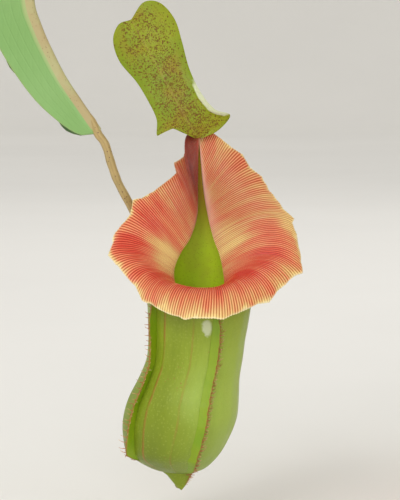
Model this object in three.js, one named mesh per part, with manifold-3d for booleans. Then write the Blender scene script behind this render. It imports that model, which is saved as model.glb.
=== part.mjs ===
// A potted tropical pitcher plant: a clay pot of bark mix, a short leafy stem and three hanging pitchers.
// Millimetres, +Z up, origin at the centre of the pot's foot. The largest pitcher hangs at -X and faces -Y.
import * as THREE from "three";
import { mergeVertices } from "three/addons/utils/BufferGeometryUtils.js";
import Module from "manifold-3d";

const wasm = await Module();
wasm.setup();

const { cos, sin, PI, abs, max, min, floor, hypot } = Math;
const V = (x, y, z) => new THREE.Vector3(x, y, z);
const GAP = 0.3; // seat clearance between neighbouring pieces

// Pot and mix
const POT_HEIGHT = 128;
const POT_FOOT_R = 47;
const POT_RIM_R = 70;
const POT_WALL = 5.5;
const POT_FLOOR = 7;
const POT_SIDES = 32;
const RIM_BAND = 25;
const RIM_STEP = 3.5;
const DRAIN_R = 4;
const DRAIN_RING = 21;
const SOIL_TOP = 114;
const SOIL_LUMP = 2.4;

// Stem
const STEM_FOOT_Z = 92;
const STEM_TOP_Z = 232;
const STEM_R = 5.6;
const STEM_TIP_R = 3;
const STEM_POINT = 9; // length of the growing tip
const FIRST_LEAF_Z = 180;
const LEAF_STEP_Z = 6;

// Pitchers and their tendrils, at the size of the largest
const CUP_WALL = 1.4;
const COLLAR_THICK = 1.1;
const RIM_DROP = 1.05; // from the collar's underside to the rim that bears it
const COARSE_RIM_DROP = 1.25; // the same on pitchers with fewer faces
const COLLAR_SPANS = 5; // rows of faces across the collar; SEAT falls on one of their edges
const RIB_RELIEF = 0.45;
const SEAT = 0.4; // where across the collar the cup's wall meets it, from its inner edge
const LID_THICK = 1.1;
const TENDRIL_R = 1.7;

// ---------------------------------------------------------------- curves and solids

const mix = (a, b, t) => a + (b - a) * t;
const smooth = (t) => t * t * (3 - 2 * t);
const clamp01 = (t) => min(1, max(0, t));

// A smooth line through rows of numbers, read at u from 0 to 1.
function through(rows, u, closed = false) {
  const spans = closed ? rows.length : rows.length - 1;
  const at = (i) => (closed ? rows[((i % spans) + spans) % spans] : rows[i]);
  const p = closed ? (((u % 1) + 1) % 1) * spans : clamp01(u) * spans;
  const i = closed ? floor(p) : min(floor(p), spans - 1);
  const t = p - i;
  return at(i).map((p1, k) => {
    const p2 = at(i + 1)[k];
    const p0 = closed || i > 0 ? at(i - 1)[k] : 2 * p1 - p2;
    const p3 = closed || i < spans - 1 ? at(i + 2)[k] : 2 * p2 - p1;
    const pull = (p2 - p0) / 2;
    const push = (p3 - p1) / 2;
    const c2 = 3 * (p2 - p1) - 2 * pull - push;
    const c3 = 2 * (p1 - p2) + pull + push;
    return p1 + pull * t + c2 * t * t + c3 * t * t * t;
  });
}

// Points evenly spaced along a smooth line, count spans long.
function evenly(rows, count, dense = 400) {
  const raw = Array.from({ length: dense + 1 }, (_, i) => V(...through(rows, i / dense)));
  const run = [0];
  for (let i = 1; i <= dense; i++) run.push(run[i - 1] + raw[i].distanceTo(raw[i - 1]));
  const points = [];
  for (let k = 0, i = 0; k <= count; k++) {
    const want = (run[dense] * k) / count;
    while (i < dense - 1 && run[i + 1] < want) i++;
    points.push(raw[i].clone().lerp(raw[i + 1], (want - run[i]) / (run[i + 1] - run[i])));
  }
  return points;
}

const headings = (points) =>
  points.map((p, i) => {
    const after = points[min(i + 1, points.length - 1)];
    return after.clone().sub(points[max(i - 1, 0)]).normalize();
  });

// Joins rings of equal point counts into one closed body, capped at both ends or closed on itself.
function loft(rings, closed = false) {
  const n = rings[0].length;
  const points = rings.flat();
  const faces = [];
  const quad = (a, b, c, d) => faces.push(a, b, c, a, c, d);
  const last = closed ? rings.length : rings.length - 1;
  for (let r = 0; r < last; r++) {
    const below = r * n;
    const above = ((r + 1) % rings.length) * n;
    for (let i = 0; i < n; i++) {
      const j = (i + 1) % n;
      quad(below + i, below + j, above + j, above + i);
    }
  }
  const cap = (ring, start, flip) => {
    const centre = ring.reduce((sum, p) => sum.add(p), V(0, 0, 0)).divideScalar(n);
    points.push(centre);
    for (let i = 0; i < n; i++) {
      const j = (i + 1) % n;
      if (flip) faces.push(points.length - 1, start + i, start + j);
      else faces.push(points.length - 1, start + j, start + i);
    }
  };
  if (!closed) {
    cap(rings[0], 0, false);
    cap(rings[rings.length - 1], (rings.length - 1) * n, true);
  }
  return solid(points, faces);
}

// A manifold solid from points and triangles, turned face outwards.
function solid(points, faces) {
  const flat = new THREE.BufferGeometry();
  flat.setAttribute("position", new THREE.Float32BufferAttribute(points.flatMap((p) => [p.x, p.y, p.z]), 3));
  flat.setIndex(faces);
  return fromGeometry(flat);
}

function fromGeometry(geometry) {
  const bare = geometry.clone();
  bare.deleteAttribute("normal");
  bare.deleteAttribute("uv");
  const merged = mergeVertices(bare, 1e-4);
  const build = (triVerts) =>
    new wasm.Manifold(
      new wasm.Mesh({ numProp: 3, vertProperties: merged.attributes.position.array, triVerts }),
    );
  const index = Uint32Array.from(merged.index.array);
  const made = build(index);
  return made.volume() > 0 ? made : build(index.reverse());
}

function toGeometry(made) {
  const mesh = made.getMesh();
  const geometry = new THREE.BufferGeometry();
  geometry.setAttribute("position", new THREE.BufferAttribute(Float32Array.from(mesh.vertProperties), 3));
  geometry.setIndex(Array.from(mesh.triVerts));
  return geometry;
}

// A round bar along points, with its radius given at each as a function of the share of its length.
function bar(points, radius, sides) {
  const ways = headings(points);
  let side = abs(ways[0].z) > 0.9 ? V(1, 0, 0) : V(0, 0, 1);
  return loft(
    points.map((p, i) => {
      side = side.clone().addScaledVector(ways[i], -side.dot(ways[i])).normalize();
      const other = ways[i].clone().cross(side);
      const r = radius(i / (points.length - 1));
      return Array.from({ length: sides }, (_, k) => {
        const turn = (2 * PI * k) / sides;
        return p.clone().addScaledVector(side, r * cos(turn)).addScaledVector(other, r * sin(turn));
      });
    }),
  );
}

// ---------------------------------------------------------------- pitcher
// In a pitcher's own frame x runs to the right, y away from the front and z up.

// Rows marked "drawn" hold x and z as they look from the front, VIEW_DISTANCE away and VIEW_TILT above,
// with their true y. fromView gives the point itself.
const VIEW_DISTANCE = 800;
const VIEW_TILT = (5 * PI) / 180;
const VIEW_CENTRE = V(2.1, 0, 100.8);

function fromView(p) {
  const c = cos(VIEW_TILT);
  const s = sin(VIEW_TILT);
  const high = p.z - VIEW_CENTRE.z;
  const over = high * (VIEW_DISTANCE + p.y * c) - VIEW_DISTANCE * p.y * s;
  const rise = over / (VIEW_DISTANCE * c + high * s);
  const depth = (VIEW_DISTANCE + p.y * c - rise * s) / VIEW_DISTANCE;
  return V(VIEW_CENTRE.x + (p.x - VIEW_CENTRE.x) * depth, p.y, VIEW_CENTRE.z + rise);
}

// The collar (peristome) follows three closed drawn lines, each read in the same order: from the front lip,
// up the right side to the neck under the lid, and down the left side.
const COLLAR_INNER = [
  [3, -14, 83], [8.5, -12.5, 83.6], [11.6, -7, 86], [11.3, -1, 91.5],
  [9.8, 4, 98.5], [7.2, 10, 105.5], [4.9, 15.5, 115], [2.9, 20.5, 127],
  [1, 24, 146], [0.5, 20.5, 128], [0.2, 15.5, 115], [-2.6, 10, 105.8],
  [-6.6, 4, 99.5], [-9.4, -1, 92.5], [-8.6, -7, 86.2], [-3.5, -12.5, 84],
];
const COLLAR_CREST = [
  [1, -26, 92], [12, -24.5, 93], [24, -17, 98], [31, -6, 106],
  [30, 0, 114], [26, 5, 120], [17, 10, 126], [9, 19, 139],
  [1.5, 24.5, 151], [-3, 19, 139], [-4.5, 13, 130], [-13, 8, 121],
  [-18, 2, 113.5], [-23.5, -6, 104], [-18, -18, 95], [-10, -24.5, 93],
];
const COLLAR_OUTER = [
  [-2.1, -34, 73], [13, -32, 73.5], [30, -21, 81], [43, -8, 93],
  [42.6, 0, 104], [38.4, 6, 114.8], [29, 14, 127.5], [13, 23.5, 145],
  [1.5, 27, 151.5], [-4.3, 25.5, 148], [-5.6, 20, 136], [-17, 13, 126],
  [-25, 6, 120], [-35, -8, 100.5], [-22.3, -23, 82], [-13, -31, 75],
];
// Pointed teeth on the collar's edge: where along the line, and how far each stands out.
const COLLAR_TEETH = [
  [0.9, 0.9], [2, 2], [3, 2.2], [5, 3], [6.2, 1.5], [6.65, 1.5],
  [9.8, 3.2], [12, 2.6], [12.65, 1.4], [13.05, 2.6], [14, 2.2], [15.8, 1.2],
];
const TOOTH_HALF = 0.25;

// The cup's rings: height, centre x, centre y, radius.
const CUP_RINGS = [
  [4.4, -7, 7.5, 3], [6.4, -6.9, 6, 7], [9.2, -7.7, 4, 12.6], [14.7, -9, 2, 19.4], [21, -7.8, 0.8, 22],
  [29.4, -6.2, 0, 23.5], [37.8, -4.9, 0, 23], [46.2, -2.9, 0, 21.3], [54.6, -0.7, 0, 20.4],
  [63, 0.2, 0, 20.6], [70, 0.8, 0, 21.3], [76.5, 1.2, 0, 21.9],
];
// The cup ends below in a tail that turns back to the tendril.
const CUP_TAIL = [[-7, 7, 6], [-7.1, 7.4, 2.4], [-7.2, 9, 0.7], [-7.3, 12, 0.4]];
const CUP_TAIL_R = [3.4, 2];
const CUP_INNER_FROM = 2; // the first ring that the hollow reaches
// The two wings down the cup's front: place round it from the front and lean to the side, in radians,
// how far they stand out, how much more at their lower corner, and the height of their lower end.
const WINGS = [
  { turn: -0.97, lean: -0.1, reach: 4.4, corner: 1.4, foot: 13.5 },
  { turn: 0.32, lean: 1.05, reach: 2.9, corner: 0.2, foot: 6 },
];
const WING_TOP_Z = 76;
const FRINGE_LENGTH = 2.6;
const FRINGE_R = 0.42;

// The lid's two halves, drawn: along its keel from its base, and out from the keel.
const LID_KEEL = [[0], [2], [5], [10], [17], [26], [35], [43], [50], [54.5], [56.8]];
const LID_RIGHT = [
  [-0.7, 0], [-1.4, 9], [1.7, 16.8], [7, 12.6], [16, 10.9], [27, 11.3],
  [38, 14], [48, 16], [57, 14], [60.6, 8], [56.8, 0],
];
const LID_LEFT = [
  [-0.7, 0], [4, -4.2], [8.4, -8.5], [9.3, -14.1], [15, -11.2], [24, -10.4],
  [33, -10.8], [44, -12.8], [53, -10.8], [57.6, -5.5], [56.8, 0],
];
const LID_BASE = V(0.4, 21.2, 146.4);
const LID_ALONG = V(-0.488, 0, 0.873);
const LID_ACROSS = V(0.873, 0, 0.488);

function toothAt(u) {
  const place = u * COLLAR_OUTER.length;
  const share = ([at, reach]) => reach * max(0, 1 - abs(place - at) / TOOTH_HALF);
  return COLLAR_TEETH.reduce((most, tooth) => max(most, share(tooth)), 0);
}

// A point of the collar's middle surface: u round the mouth, s across from the inner edge to the outer.
function collarPoint(u, s) {
  const inner = V(...through(COLLAR_INNER, u, true));
  const crest = V(...through(COLLAR_CREST, u, true));
  const outer = V(...through(COLLAR_OUTER, u, true));
  outer.addScaledVector(outer.clone().sub(crest).normalize(), toothAt(u));
  const p = inner.multiplyScalar((1 - s) ** 2);
  return fromView(p.addScaledVector(crest, 2 * s * (1 - s)).addScaledVector(outer, s * s));
}

function collarNormal(u, s) {
  const step = 0.004;
  const along = collarPoint(u + step, s).sub(collarPoint(u - step, s));
  const across = collarPoint(u, min(1, s + 0.05)).sub(collarPoint(u, max(0, s - 0.05)));
  return across.cross(along).normalize();
}

function collarSolid(ribs, spans) {
  const rings = [];
  for (let k = 0; k < 2 * ribs; k++) {
    const u = k / (2 * ribs);
    const top = [];
    const under = [];
    for (let i = 0; i <= spans; i++) {
      const s = i / spans;
      const fade = sin(PI * clamp01(s * 0.96 + 0.04)) ** 0.5;
      const rib = (k % 2 ? -1 : 1) * RIB_RELIEF * 0.5 * fade;
      const p = collarPoint(u, s);
      const n = collarNormal(u, s);
      top.push(p.clone().addScaledVector(n, COLLAR_THICK / 2 + rib));
      under.push(p.clone().addScaledVector(n, -COLLAR_THICK / 2));
    }
    rings.push([...top, ...under.reverse()]);
  }
  return loft(rings, true);
}

// The rim that the collar sits on, GAP below its underside; side is +1 for the outer face, -1 for the inner.
function cupRim(u, side, drop) {
  const reach = collarPoint(u, 1).distanceTo(collarPoint(u, 0));
  const s = SEAT + (side * CUP_WALL * 0.5) / max(reach, 4);
  return collarPoint(u, s).addScaledVector(collarNormal(u, SEAT), -COLLAR_THICK / 2 - drop);
}

function cupRingPoint(ring, turn, inset) {
  const [z, x, y, r] = ring;
  return V(x + (r - inset) * sin(turn), y - (r - inset) * cos(turn), z);
}

// Every ring of the list, or every other one for a coarser cup.
const thinned = (rings, step) => rings.filter((_, i) => i % step === 0 || i === rings.length - 1);

function cupSolid({ sides, shoulder: shoulderRows, ringStep }, drop) {
  const turns = Array.from({ length: sides }, (_, k) => k / sides);
  const top = CUP_RINGS[CUP_RINGS.length - 1];
  const shoulder = (t, side) =>
    turns.map((u) => {
      const foot = cupRingPoint(top, 2 * PI * u, side > 0 ? 0 : CUP_WALL);
      const rim = cupRim(u, side, drop);
      const bend = V(foot.x, foot.y, mix(foot.z, rim.z, 0.5));
      foot.multiplyScalar((1 - t) ** 2);
      return foot.addScaledVector(bend, 2 * t * (1 - t)).addScaledVector(rim, t * t);
    });
  const ringAt = (ring, inset) => turns.map((u) => cupRingPoint(ring, 2 * PI * u, inset));
  const outer = thinned(CUP_RINGS, ringStep).map((ring) => ringAt(ring, 0));
  const inner = thinned(CUP_RINGS.slice(CUP_INNER_FROM), 2).map((ring) => ringAt(ring, CUP_WALL));
  const rise = Array.from({ length: shoulderRows }, (_, i) => (i + 1) / shoulderRows);
  return loft([
    ...outer,
    ...rise.map((t) => shoulder(t, 1)),
    ...rise.filter((_, i) => i % 2).map((t) => shoulder(t, -1)).reverse(),
    ...inner.reverse(),
  ]);
}

// Where a wing's root is on the cup at height z.
function wingAt(turn, z) {
  const zs = CUP_RINGS.map((ring) => ring[0]);
  const k = max(0, min(zs.length - 2, zs.findIndex((v) => v > z) - 1));
  const t = (z - zs[k]) / (zs[k + 1] - zs[k]);
  const ring = CUP_RINGS[k].map((v, i) => mix(v, CUP_RINGS[k + 1][i], t));
  return cupRingPoint(ring, turn, 0);
}

function wingSolids(wing, rows) {
  const { turn, lean } = wing;
  const forward = V(sin(turn), -cos(turn), 0);
  const aside = V(cos(turn), sin(turn), 0);
  const flat = forward.clone().multiplyScalar(cos(lean)).addScaledVector(aside, sin(lean));
  const across = aside.multiplyScalar(cos(lean)).addScaledVector(forward, -sin(lean));
  const stations = Array.from({ length: rows + 1 }, (_, i) => {
    const z = mix(WING_TOP_Z, wing.foot, i / rows);
    const lowest = clamp01((i / rows - 0.7) / 0.3);
    const out = flat.clone().add(V(0, 0, -0.7 * lowest)).normalize();
    const widening = smooth(clamp01(0.35 + i / 3)); // the wing is narrow under the collar
    return { foot: wingAt(turn, z), out, reach: wing.reach * widening + wing.corner * lowest ** 2 };
  });
  const strip = loft(
    stations.map(({ foot, out, reach }) =>
      [[-0.8, -0.6], [-0.8, 0.6], [reach, 0.42], [reach, -0.42]].map(([a, b]) =>
        foot.clone().addScaledVector(out, a).addScaledVector(across, b),
      ),
    ),
  );
  const hairs = stations.map(({ foot, out, reach }, i) => {
    const root = foot.clone().addScaledVector(out, reach - 0.5);
    const tip = root.clone().addScaledVector(out, FRINGE_LENGTH).addScaledVector(across, i % 2 ? 1 : -1);
    return bar([root, tip], (t) => mix(FRINGE_R, 0.34, t), 3);
  });
  return [strip, ...hairs];
}

// The lid's middle surface at m along its keel and b out from it, -1 to 1.
function lidPoint(m, b) {
  const [keel] = through(LID_KEEL, m);
  const [edge, out] = through(b < 0 ? LID_LEFT : LID_RIGHT, m);
  const along = mix(keel, edge, abs(b));
  const across = out * abs(b);
  const lean = -3 * sin(PI * clamp01(along / 30)) + 6 * smooth(clamp01(along / 57)) + 0.012 * across * across;
  const drawn = LID_BASE.clone().addScaledVector(LID_ALONG, along).addScaledVector(LID_ACROSS, across);
  return fromView(drawn.add(V(0, lean, 0)));
}

function lidSolid(rows, cols) {
  const half = LID_THICK / 2;
  const sections = Array.from({ length: rows + 1 }, (_, i) => {
    const m = mix(0.02, 0.98, i / rows);
    const line = Array.from({ length: cols + 1 }, (_, j) => lidPoint(m, mix(-1, 1, j / cols)));
    const front = line.map((p) => p.clone().add(V(0, -half, 0)));
    const back = line.map((p) => p.clone().add(V(0, half, 0)));
    return [...front, ...back.reverse()];
  });
  const stalk = bar([V(0.2, 20.4, 149.5), V(0.9, 24.4, 152.9), V(1, 27, 153.3)], (t) => mix(1.1, 1.5, t), 6);
  const spur = bar([V(1, 26.5, 153.3), V(1.2, 30, 155), V(1.2, 34, 158.8)], (t) => mix(1.3, 0.4, t), 5);
  return loft(sections).add(stalk).add(spur);
}

// ---------------------------------------------------------------- leaves and tendrils

// A leaf bears its pitcher in the branch's own frame: x towards the stem, whose axis is at STEM_LOCAL.
// Its line from the stem to its tip, drawn.
const STEM_LOCAL = V(165, 0, 160);
const BEARING_SPINE = [
  [148, 0, 172], [128, 2, 196], [98, 4, 228], [60, 6, 256], [18, 8, 274], [-25, 9, 276], [-55.5, 10, 256],
  [-69.5, 10, 228], [-70.6, 10, 205.8], [-67.2, 10.5, 193.6], [-62.6, 11, 183.1], [-57, 11.3, 172.2],
  [-50.6, 11.7, 162.5], [-42, 12, 150],
];
// The tendril drops behind the collar and the cup, and turns forward to the cup's tail. Drawn.
const TENDRIL_LINE = [
  [-42, 12, 150], [-39.3, 12.3, 145], [-37, 13, 137], [-34, 14.5, 129], [-29, 18, 119.5], [-22, 25, 107],
  [-13, 32, 88], [-8, 34.5, 64], [-7, 34, 40], [-7.5, 30, 20], [-7.4, 24, 9], [-7.3, 18, 3],
  [-7.3, 12.5, 1.5],
];
const BLADE_THICK = 0.9;
const LEAF_WAVES = 3.5; // waves along a blade's edge
const PETIOLE_SHARE = 0.17;
const PETIOLE_HALF = 5.2;
const STEM_CLEAR = 0.9; // from the stem's face to the leaf's first section

// Half the blade's width at share t of the leaf's length, for a leaf whose widest half is 1.
function bladeHalf(t, tipPower) {
  const q = clamp01((t - PETIOLE_SHARE) / (1 - PETIOLE_SHARE));
  return sin(PI * q ** 0.85) ** mix(1.4, tipPower, smooth(q));
}

// Half the angle that the blade's halves make with each other, in radians.
function foldAt(t, openFold, tipFold) {
  const base = mix(1.4, 0.75, smooth(clamp01(t / 0.12)));
  const open = mix(base, openFold, smooth(clamp01((t - 0.15) / 0.3)));
  return mix(open, tipFold, smooth(clamp01((t - 0.6) / 0.25)));
}

// A folded blade with its rib beneath. faceOf gives the upper side's direction for a heading.
function leafSolid(spine, faceOf, leaf) {
  const ways = headings(spine);
  const sections = spine.map((p, i) => {
    const t = i / (spine.length - 1);
    const face = faceOf(ways[i], t);
    const side = ways[i].clone().cross(face).normalize();
    const fold = foldAt(t, leaf.openFold, leaf.tipFold);
    const end = 1 - smooth(clamp01((t - 0.9) / 0.1));
    const blade = bladeHalf(t, leaf.tipPower);
    const width = hypot(PETIOLE_HALF * leaf.scale * end, leaf.half * blade) + 1.2 * (1 - end);
    const rib = mix(2.6, 1.75, t) * leaf.scale;
    const half = (sign) => {
      const out = face.clone().multiplyScalar(cos(fold)).addScaledVector(side, sign * sin(fold));
      const skin = face.clone().multiplyScalar(sin(fold)).addScaledVector(side, -sign * cos(fold));
      const wave = leaf.wave * blade * sin(LEAF_WAVES * t * 2 * PI + leaf.phase + sign);
      const at = (share, lift) =>
        p.clone().addScaledVector(out, width * share).addScaledVector(skin, lift + wave * share * share);
      const skinHalf = BLADE_THICK / 2;
      return { top: [at(1, skinHalf), at(0.5, skinHalf)], under: [at(1, -skinHalf), at(0.5, -skinHalf)] };
    };
    const right = half(1);
    const left = half(-1);
    const keel = (across, down) =>
      p.clone().addScaledVector(side, across * rib).addScaledVector(face, -down * rib);
    const valley = p.clone().addScaledVector(face, BLADE_THICK / 2 / sin(fold));
    return [
      left.top[0], left.top[1], valley, right.top[1], right.top[0],
      right.under[0], right.under[1], keel(0.75, 0.9),
      keel(0, 1.5), keel(-0.75, 0.9), left.under[1], left.under[0],
    ];
  });
  return loft(sections);
}

// The upper side of a leaf that arches in the branch's plane.
const archFace = (way) => V(way.z, 0, -way.x).normalize();

const matrixOf = (branch) =>
  new THREE.Matrix4()
    .makeRotationZ((branch.bearing - 180) * (PI / 180))
    .multiply(new THREE.Matrix4().makeTranslation(0, 0, branch.z))
    .multiply(new THREE.Matrix4().makeScale(branch.scale, branch.scale, branch.scale))
    .multiply(new THREE.Matrix4().makeTranslation(-STEM_LOCAL.x, -STEM_LOCAL.y, -STEM_LOCAL.z));

const turned = (p, turn) => p.clone().applyAxisAngle(V(0, 0, 1), turn);

function bearingLeaf(branch, spans) {
  const start = V(STEM_LOCAL.x - (stemRadius(branch.z) + STEM_CLEAR) / branch.scale, 0, STEM_LOCAL.z + 2);
  const sway = (row, i) => [row[0], row[1] + branch.sway * sin((PI * i) / BEARING_SPINE.length), row[2]];
  const bent = BEARING_SPINE.map((row, i) => fromView(V(...sway(row, i))).toArray());
  const spine = evenly([start.toArray(), ...bent], spans);
  return leafSolid(spine, archFace, { ...branch.leaf, scale: 1 });
}

// The tendril of a pitcher turned about its own upright axis: it follows the leaf above
// and the pitcher below.
function bearingTendril(branch, spans) {
  const rows = TENDRIL_LINE.map((row, i) => {
    const follow = smooth(clamp01((i - 2) / 5)) * branch.turn;
    return turned(fromView(V(...row)), follow).toArray();
  });
  const line = Array.from({ length: spans + 1 }, (_, i) => V(...through(rows, i / spans)));
  line[0].addScaledVector(headings(line)[0], 1.6 * GAP);
  return bar(line, (t) => TENDRIL_R + 0.5 * smooth(clamp01((t - 0.9) / 0.1)), 8);
}

// A barren leaf arches out in its own plane, from angle rise to angle droop above the horizon.
function barrenSpine(branch, length, from, to, start, spans) {
  const points = [start.clone()];
  const step = length / spans;
  for (let i = 0; i < spans; i++) {
    const angle = (mix(from, to, smooth((i + 0.5) / spans)) * PI) / 180;
    const way = V(-cos(angle), branch.drift * sin((PI * i) / spans), sin(angle)).normalize();
    points.push(points[i].clone().addScaledVector(way, step));
  }
  return points;
}

function barrenLeaf(branch, spans) {
  const start = V(-(stemRadius(leafZ(branch.leafNo)) + STEM_CLEAR), 0, 0);
  const spine = barrenSpine(branch, branch.length, branch.rise, branch.droop, start, spans);
  return { spine, made: leafSolid(spine, archFace, branch.leaf) };
}

// A barren leaf's tendril hangs, hooks up and ends in a closed young pitcher.
function buddedTendril(branch, from, spans) {
  const tip = from[from.length - 1];
  const way = headings(from)[from.length - 1];
  const start = tip.clone().addScaledVector(way, GAP);
  const droop = (Math.atan2(way.z, -way.x) * 180) / PI;
  const down = barrenSpine({ drift: 0 }, branch.tendril * 0.62, droop, -88, start, spans);
  const up = barrenSpine({ drift: 0 }, branch.tendril * 0.38, -88, 75, down[down.length - 1], spans);
  const line = [...down, ...up.slice(1)];
  const r = TENDRIL_R * 0.8;
  const bud = (t) => branch.bud * sin(PI * clamp01((t - 0.8) / 0.22)) ** 0.7;
  return bar(line, (t) => r * mix(1, 0.7, t) + bud(t), 6);
}

// ---------------------------------------------------------------- pot, mix and stem

// A fixed sequence of even draws from 0 to 1.
function draws(seed) {
  let state = seed;
  return () => {
    state = (state * 1664525 + 1013904223) % 4294967296;
    return state / 4294967296;
  };
}

const wallAt = (z) => mix(POT_FOOT_R, POT_RIM_R - RIM_STEP, z / (POT_HEIGHT - RIM_BAND));

function potSolid() {
  const under = POT_HEIGHT - RIM_BAND;
  const inside = (z) => mix(POT_FOOT_R, POT_RIM_R - 1, z / POT_HEIGHT) - POT_WALL;
  const profile = [
    [0, 0], [POT_FOOT_R - 1.5, 0], [POT_FOOT_R, 1.5], [wallAt(under), under], [POT_RIM_R - 1, under + 0.6],
    [POT_RIM_R, POT_HEIGHT - 2], [POT_RIM_R - 1.5, POT_HEIGHT], [inside(POT_HEIGHT) + 1.5, POT_HEIGHT],
    [inside(POT_HEIGHT - 2), POT_HEIGHT - 2], [inside(POT_FLOOR), POT_FLOOR], [0, POT_FLOOR],
  ];
  const outline = profile.map(([r, z]) => new THREE.Vector2(r, z));
  const thrown = fromGeometry(new THREE.LatheGeometry(outline, POT_SIDES).rotateX(PI / 2));
  const drains = [0, 1, 2].map((k) => {
    const hole = new THREE.CylinderGeometry(DRAIN_R, DRAIN_R, 3 * POT_FLOOR, 12).rotateX(PI / 2);
    const turn = (2 * PI * k) / 3;
    return fromGeometry(hole.translate(DRAIN_RING * cos(turn), DRAIN_RING * sin(turn), POT_FLOOR / 2));
  });
  return { made: drains.reduce((made, hole) => made.subtract(hole), thrown), inside };
}

function stemRadius(z) {
  const slim = mix(STEM_R, STEM_TIP_R, smooth(clamp01((z - FIRST_LEAF_Z) / (STEM_TOP_Z - FIRST_LEAF_Z))));
  return slim * mix(1, 0.3, clamp01((z - STEM_TOP_Z + STEM_POINT) / STEM_POINT) ** 2);
}

function stemSolid() {
  const rings = 16;
  const sides = 10;
  return loft(
    Array.from({ length: rings + 1 }, (_, i) => {
      const z = mix(STEM_FOOT_Z, STEM_TOP_Z, i / rings);
      const node = 0.35 * (i % 2); // old leaf scars ring the stem
      return Array.from({ length: sides }, (_, k) => {
        const turn = (2 * PI * k) / sides;
        const r = stemRadius(z) - 0.35 + node;
        return V(r * cos(turn), r * sin(turn), z);
      });
    }),
  );
}

// The mix fills the pot to SOIL_TOP, lumpy on top, with a plain hole for the stem.
function mixSolid(inside) {
  const draw = draws(7);
  const sides = 26;
  const ring = (r, z, lump) =>
    Array.from({ length: sides }, (_, k) => {
      const turn = (2 * PI * (k + (lump ? 0.5 * draw() : 0))) / sides;
      return V(r * cos(turn), r * sin(turn), z + lump * (draw() - 0.5));
    });
  const hole = STEM_R + GAP + 0.35;
  const edge = inside(SOIL_TOP) - GAP - 0.65;
  const rows = 5;
  const top = Array.from({ length: rows }, (_, i) => mix(edge - 2, hole + 4, i / (rows - 1)));
  return loft([
    ring(inside(POT_FLOOR) - GAP - 0.65, POT_FLOOR + GAP, 0),
    ring(edge, SOIL_TOP - 2, 0),
    ...top.map((r) => ring(r, SOIL_TOP, 2 * SOIL_LUMP)),
    ring(hole, SOIL_TOP, 0),
    ring(hole, STEM_FOOT_Z - GAP, 0),
  ]);
}

// ---------------------------------------------------------------- the whole plant

const FINISHES = {
  clay: { color: [0.62, 0.31, 0.19], roughness: 0.9 },
  mix: { color: [0.2, 0.13, 0.08], roughness: 1 },
  stem: { color: [0.36, 0.4, 0.16], roughness: 0.6 },
  leaf: { color: [0.2, 0.42, 0.12], roughness: 0.45 },
  tendril: { color: [0.55, 0.42, 0.22], roughness: 0.5 },
  cup: { color: [0.5, 0.58, 0.18], roughness: 0.45 },
  collar: { color: [0.87, 0.42, 0.27], roughness: 0.3 },
  lid: { color: [0.52, 0.54, 0.13], roughness: 0.5 },
};

const plant = new THREE.Group();

function place(name, made, finish, matrix) {
  const { color, roughness } = FINISHES[finish];
  const look = new THREE.MeshStandardMaterial({ color: new THREE.Color(...color), roughness, metalness: 0 });
  const mesh = new THREE.Mesh(toGeometry(made), look);
  mesh.name = name;
  if (matrix) mesh.applyMatrix4(matrix);
  plant.add(mesh);
}

// Leaves spring from the stem two fifths of a turn apart, the oldest, number 0, at -X. Bearings in degrees.
const LEAF_TURN = 144;
const leafBearing = (k, swing = 0) => 180 + LEAF_TURN * k + swing;
const leafZ = (k) => FIRST_LEAF_Z + LEAF_STEP_Z * k;

// Bearing leaves: number, size of the whole branch, sideways sway in mm, the pitcher's own turn in radians,
// and the blade's half width, folds, edge wave and tip.
const BEARERS = [
  {
    leafNo: 0, scale: 1, sway: 0, turn: 0,
    leaf: { half: 28.5, openFold: 1.1, tipFold: 0.49, wave: 0.6, phase: 0, tipPower: 0.45 },
    grain: { ribs: 44, sides: 24, shoulder: 6, ringStep: 1, hairs: 11, leaf: 24, tendril: 22, lid: [12, 6] },
  },
  {
    leafNo: 1, scale: 0.82, sway: -10, turn: 0.3,
    leaf: { half: 29, openFold: 1.15, tipFold: 0.6, wave: 1.6, phase: 2, tipPower: 0.8 },
    grain: { ribs: 28, sides: 18, shoulder: 4, ringStep: 2, hairs: 7, leaf: 20, tendril: 18, lid: [10, 5] },
  },
  {
    leafNo: 4, scale: 0.64, sway: 12, turn: 0.45,
    leaf: { half: 30, openFold: 1.2, tipFold: 0.7, wave: 1.8, phase: 4, tipPower: 0.8 },
    grain: { ribs: 22, sides: 16, shoulder: 4, ringStep: 2, hairs: 6, leaf: 20, tendril: 18, lid: [10, 5] },
  },
];

// Barren leaves: number, swing off their place, length, rise and droop in degrees, sideways drift,
// and the length of their tendril and the girth of its bud.
const BARREN = [
  {
    leafNo: 2, swing: -8, length: 215, rise: 48, droop: -62, drift: 0.12, tendril: 95, bud: 3.6,
    leaf: { half: 26, openFold: 1.15, tipFold: 1.1, wave: 1.8, phase: 1, tipPower: 0.8, scale: 1 },
  },
  {
    leafNo: 3, swing: 6, length: 285, rise: 44, droop: -78, drift: -0.1, tendril: 110, bud: 4.4,
    leaf: { half: 29, openFold: 1.15, tipFold: 1.1, wave: 2, phase: 3, tipPower: 0.8, scale: 1 },
  },
  {
    leafNo: 5, swing: 10, length: 200, rise: 74, droop: 8, drift: 0.08, tendril: 80, bud: 3,
    leaf: { half: 23, openFold: 1.1, tipFold: 0.95, wave: 1.6, phase: 5, tipPower: 0.8, scale: 0.9 },
  },
  {
    leafNo: 6, swing: 0, length: 175, rise: 74, droop: 5, drift: -0.1, tendril: 60, bud: 2.4,
    leaf: { half: 20, openFold: 1.05, tipFold: 0.95, wave: 1.4, phase: 6, tipPower: 0.8, scale: 0.8 },
  },
  {
    leafNo: 7, swing: 0, length: 125, rise: 80, droop: 35, drift: 0.06, tendril: 0, bud: 0,
    leaf: { half: 14, openFold: 0.8, tipFold: 0.6, wave: 1, phase: 7, tipPower: 0.8, scale: 0.7 },
  },
];
const BARREN_SPANS = 15;
const BUD_SPANS = 8;

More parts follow.
